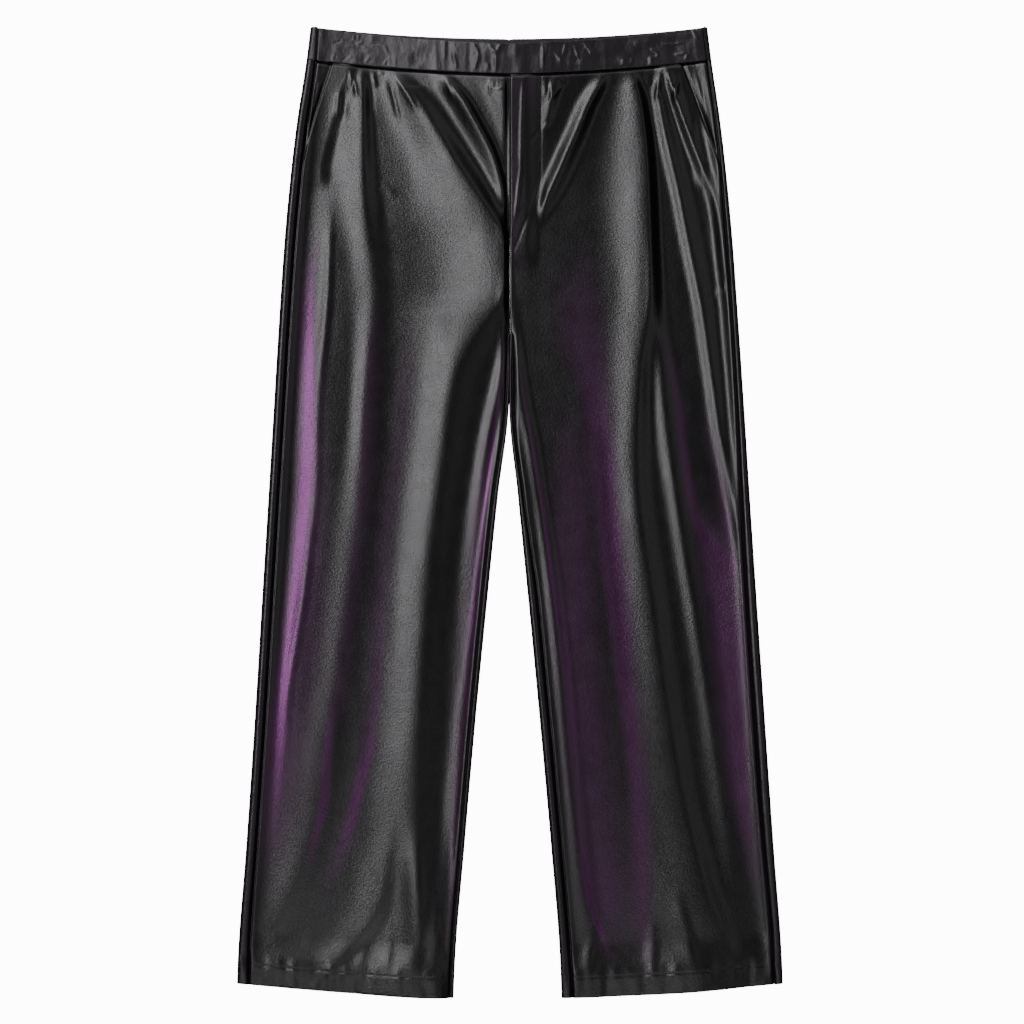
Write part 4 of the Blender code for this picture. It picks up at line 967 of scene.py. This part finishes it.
def crinkles(across, part):
    """Height of the elastic's crinkles: uneven bells, strongest at mid height."""
    total = np.zeros(np.broadcast(across, part).shape)
    for zone in ELASTIC:
        pitch = (zone.end - zone.start) / zone.crinkles
        for i in range(zone.crinkles):
            shift = CRINKLE_SHIFT * np.sin(SHIFT_STEP * i + 1.0)
            lean = CRINKLE_LEAN * np.sin(LEAN_STEP * i) * (part - 0.5)
            change = CRINKLE_CHANGE * np.sin(CHANGE_STEP * i + zone.start)
            off = across - zone.start - pitch * (i + 0.5 + shift) - lean
            total += (zone.height * (1.0 - CRINKLE_CHANGE + change)
                      * bell(off, CRINKLE_WIDTH * pitch) * np.sin(np.pi * (0.15 + 0.7 * part)))
    return CRINKLE * total


def grown(first, last, start, end, across):
    """From a first size to a last one between two places across."""
    return first + (last - first) * ease(start, end, across)


def band_bed(side, across, down):
    """Height of the band's face without its creases: it doesn't rise past its edges."""
    roll = section("out_roll", down)
    off = sign(side) * (section(f"{side}_out", down) - across)
    return bed(side, across, down) + BAND_PROUD * ease(roll, roll + BAND_PROUD_REACH, off)


def band_profile(rows, top, bottom):
    """Down a band: round its top edge, down the face and round its bottom edge.

    Gives the distances down and how far through the wall they are, from the face (0).
    """
    turn = np.radians(np.linspace(*TOP_TURN, TOP_ROWS))[:, None]
    bend = np.radians(np.linspace(*BOTTOM_TURN, BOTTOM_ROWS))[:, None]
    part = np.linspace(0.0, 1.0, rows - TOP_ROWS - BOTTOM_ROWS + 2)[1:-1, None]
    first, last = top + BAND / 2, bottom - BAND_LIP
    down = np.concatenate([top + BAND / 2 * (1.0 - np.cos(turn)), first + (last - first) * part,
                           last + BAND_LIP * np.sin(bend)])
    through_wall = np.concatenate([(1.0 - np.sin(turn)) / 2, 0.0 * part,
                                   BAND_LIP / BAND * (1.0 - np.cos(bend))])
    return down, through_wall


def inner_downs(rows, top, bottom):
    """Distances down of the band's inner side, between its rounded edges."""
    first, last = top + BAND / 2, bottom - SEAM_GAP
    return first + (last - first) * np.linspace(0.0, 1.0, rows)[:, None]


def band_face(across, down):
    """Height of the front band's face, with its crinkles and creases, which grow to the left."""
    part = (down - front_top(across)) / (waist_seam(across) - front_top(across))
    bare = np.where(across < 0.0, band_bed("right", across, down), band_bed("left", across, down))
    small = grown(*CREASE_SHARE, across) * creases(BAND_CREASES, across, down)
    small += grown(*CRUMPLE_HEIGHT, across) * crumple(across, down, *BAND_CRUMPLE)
    small += WRINKLE_HEIGHT * crumple(across, down, *BAND_WRINKLE)
    at_ends = ease(*END_FADE, HALF_WAIST - abs(across))
    return bare + crinkles(across, part) + at_ends * small


def between_side_seams(down, steps):
    """Places across the front band, from one side seam to the other."""
    start = seam_across("right", "out", down) + SEAM_GAP / 2
    end = seam_across("left", "out", down) - SEAM_GAP / 2
    return start + (end - start) * steps


crinkled_leather = faux_leather("faux_leather_crinkled", rough=BAND_ROUGH)

steps = np.linspace(0.0, 1.0, FRONT_BAND_COLUMNS)
middle = -HALF_WAIST + 2 * HALF_WAIST * steps
for _ in range(4):
    top, bottom = front_top(middle), waist_seam(middle) - SEAM_GAP / 2
    down, through_wall = band_profile(FRONT_BAND_ROWS, top, bottom)
    across = between_side_seams(down, steps)
    middle = across[FRONT_BAND_ROWS // 2]
down_in = inner_downs(FRONT_BAND_ROWS, front_top(middle), waist_seam(middle) - SEAM_GAP / 2)
across_in = between_side_seams(down_in, steps)
from_ends = np.minimum(abs(across - across[:, :1]), abs(across - across[:, -1:]))
high = band_face(across, down) - LIP * bell(from_ends, LIP_WIDTH)
# The front band carries an even painted purple reflection.
cloth("waistband_front", placed(across, down, high - BAND * through_wall),
      placed(across_in, down_in, band_face(across_in, down_in) - BAND), crinkled_leather,
      "faux_leather", np.full(across.shape, BAND_PAINTED_REFLECTION), ["cloth_waistband_back"],
      flat=FRONT_BAND_FLAT)


def back_band_places(down):
    """Places of the back band's columns: the right wrap, the flat on the floor, the left wrap."""
    wrap = BACK_BAND_WRAP
    right = wrapped("right", "out", np.linspace(0.0, 1.0, wrap), down[:, :wrap], BAND, band_bed)
    left = wrapped("left", "out", np.linspace(1.0, 0.0, wrap), down[:, -wrap:], BAND, band_bed)
    start, end = right[0][:, -1:], left[0][:, :1]
    flat = start + (end - start) * np.linspace(0.0, 1.0, BACK_BAND_FLAT + 2)[1:-1]
    trough = crinkles(flat, np.linspace(0.0, 1.0, len(down))[:, None])
    return [np.concatenate(parts, axis=1) for parts in zip(
        right, (flat, trough, flat, trough + BAND), left)]


down = np.full((BACK_BAND_ROWS, 2 * BACK_BAND_WRAP + BACK_BAND_FLAT), 20.0)
for _ in range(4):
    middle = back_band_places(down)[0][BACK_BAND_ROWS // 2]
    top, bottom = back_top(middle), waist_seam(middle) - CLOSED_GAP / 2
    down, through_wall = band_profile(BACK_BAND_ROWS, top, bottom)
down_in = inner_downs(BACK_BAND_ROWS, top, bottom)
across, high, across_in, high_in = back_band_places(down)
face_points, wall_points = placed(across, down, high), placed(across_in, down, high_in)
outer = face_points + (wall_points - face_points) * through_wall[..., None]
_, _, across_in, high_in = back_band_places(down_in)
# The back band carries the same even painted purple reflection.
cloth("waistband_back", outer, placed(across_in, down_in, high_in), crinkled_leather,
      "faux_leather", np.full(across.shape, BAND_PAINTED_REFLECTION), ["table"], flat=BACK_BAND_CUT)


# ---- Stitching --------------------
# Black thread: a row of stitches holds each turned-up hem, front and back, and a J-shaped row
# down the left front holds the fly.
THREAD_BLACK, THREAD_ROUGH = (0.006, 0.006, 0.007, 1.0), 0.55
THREAD_RADIUS, STITCH_PITCH, STITCH_LENGTH = 0.26, 3.3, 2.3
STITCH_SUNK, STITCH_PROUD = 0.02, 0.16
FIRST_STITCH, FLY_START = 0.5, 14.0      # in from the end of a row, and below the fly's top
ROW_POINTS = 400
RING_PLACES = np.array([0.0, 0.18, 0.5, 0.82, 1.0])
RING_SIZES = np.array([0.45, 0.95, 1.0, 0.95, 0.45])
RING_SIDES = 6
UPWARDS = np.array([0.0, 0.0, 1.0])


def stitch_row(across, down, height, above):
    """Starts and ends of the stitches along a line, and the way out of the cloth at each."""
    points = placed(across, down, height)
    run = np.r_[0.0, np.cumsum(np.linalg.norm(np.diff(points, axis=0), axis=1))]
    begin = np.arange(FIRST_STITCH, run[-1] / MM - STITCH_LENGTH, STITCH_PITCH) * MM
    start, end = (np.stack([np.interp(at, run, points[:, axis]) for axis in range(3)], -1)
                  for at in (begin, begin + STITCH_LENGTH * MM))
    return start, end, np.broadcast_to(above, start.shape)


def spindles(start, end, above):
    """Five six-sided rings along each stitch, which arches out by a sine of its length."""
    along = end - start
    beside = np.cross(along, above)
    beside /= np.linalg.norm(beside, axis=1, keepdims=True)
    arch = (STITCH_PROUD * np.sin(np.pi * RING_PLACES) - STITCH_SUNK) * MM
    centre = (start[:, None] + along[:, None] * RING_PLACES[:, None]
              + above[:, None] * arch[:, None])
    turn = 2 * np.pi * np.arange(RING_SIDES) / RING_SIDES
    spoke = (np.cos(turn)[:, None] * beside[:, None, None]
             + np.sin(turn)[:, None] * above[:, None, None])
    return centre[:, :, None] + THREAD_RADIUS * MM * RING_SIZES[:, None, None] * spoke


def joined_spindles(name, points, material):
    """One mesh of all the stitches: quads between their rings, and a cap at each end."""
    count, rings, sides = points.shape[:3]
    number = np.arange(count * rings * sides).reshape(count, rings, sides)
    after = np.roll(number, -1, axis=2)
    walls = np.stack([number[:, :-1], number[:, 1:], after[:, 1:], after[:, :-1]], -1)
    caps = np.concatenate([number[:, 0], number[:, -1, ::-1]])
    mesh = bpy.data.meshes.new(name)
    mesh.from_pydata(points.reshape(-1, 3), [], walls.reshape(-1, 4).tolist() + caps.tolist())
    mesh.shade_smooth()
    mesh.materials.append(material)
    piece = in_scene(name, mesh)
    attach(piece, "root")


stitch_rows = []
for side in ("right", "left"):
    ends = [seam_across(side, edge, LENGTH - HEM_DEPTH) for edge in ("in", "out")]
    across = np.linspace(ends[0] + sign(side), ends[1] - sign(side), ROW_POINTS)
    down = hem(across) - HEM_DEPTH
    stitch_rows.append(stitch_row(across, down, sewn_face(side, across, down), UPWARDS))
    stitch_rows.append(stitch_row(across, down, np.full(across.shape, STITCH_DIP), -UPWARDS))
down = np.linspace(FLY_CURVE_DOWN[0] + FLY_START, FLY_CURVE_DOWN[-1], ROW_POINTS)
across = fly_line(down)
height = sewn_face("left", across, down) + overlay("left", across, down)
stitch_rows.append(stitch_row(across, down, height, UPWARDS))
starts, ends, above = (np.concatenate(parts) for parts in zip(*stitch_rows))
thread, _ = finish_of("black_thread", THREAD_BLACK, THREAD_ROUGH)
joined_spindles("stitches", spindles(starts, ends, above), thread)
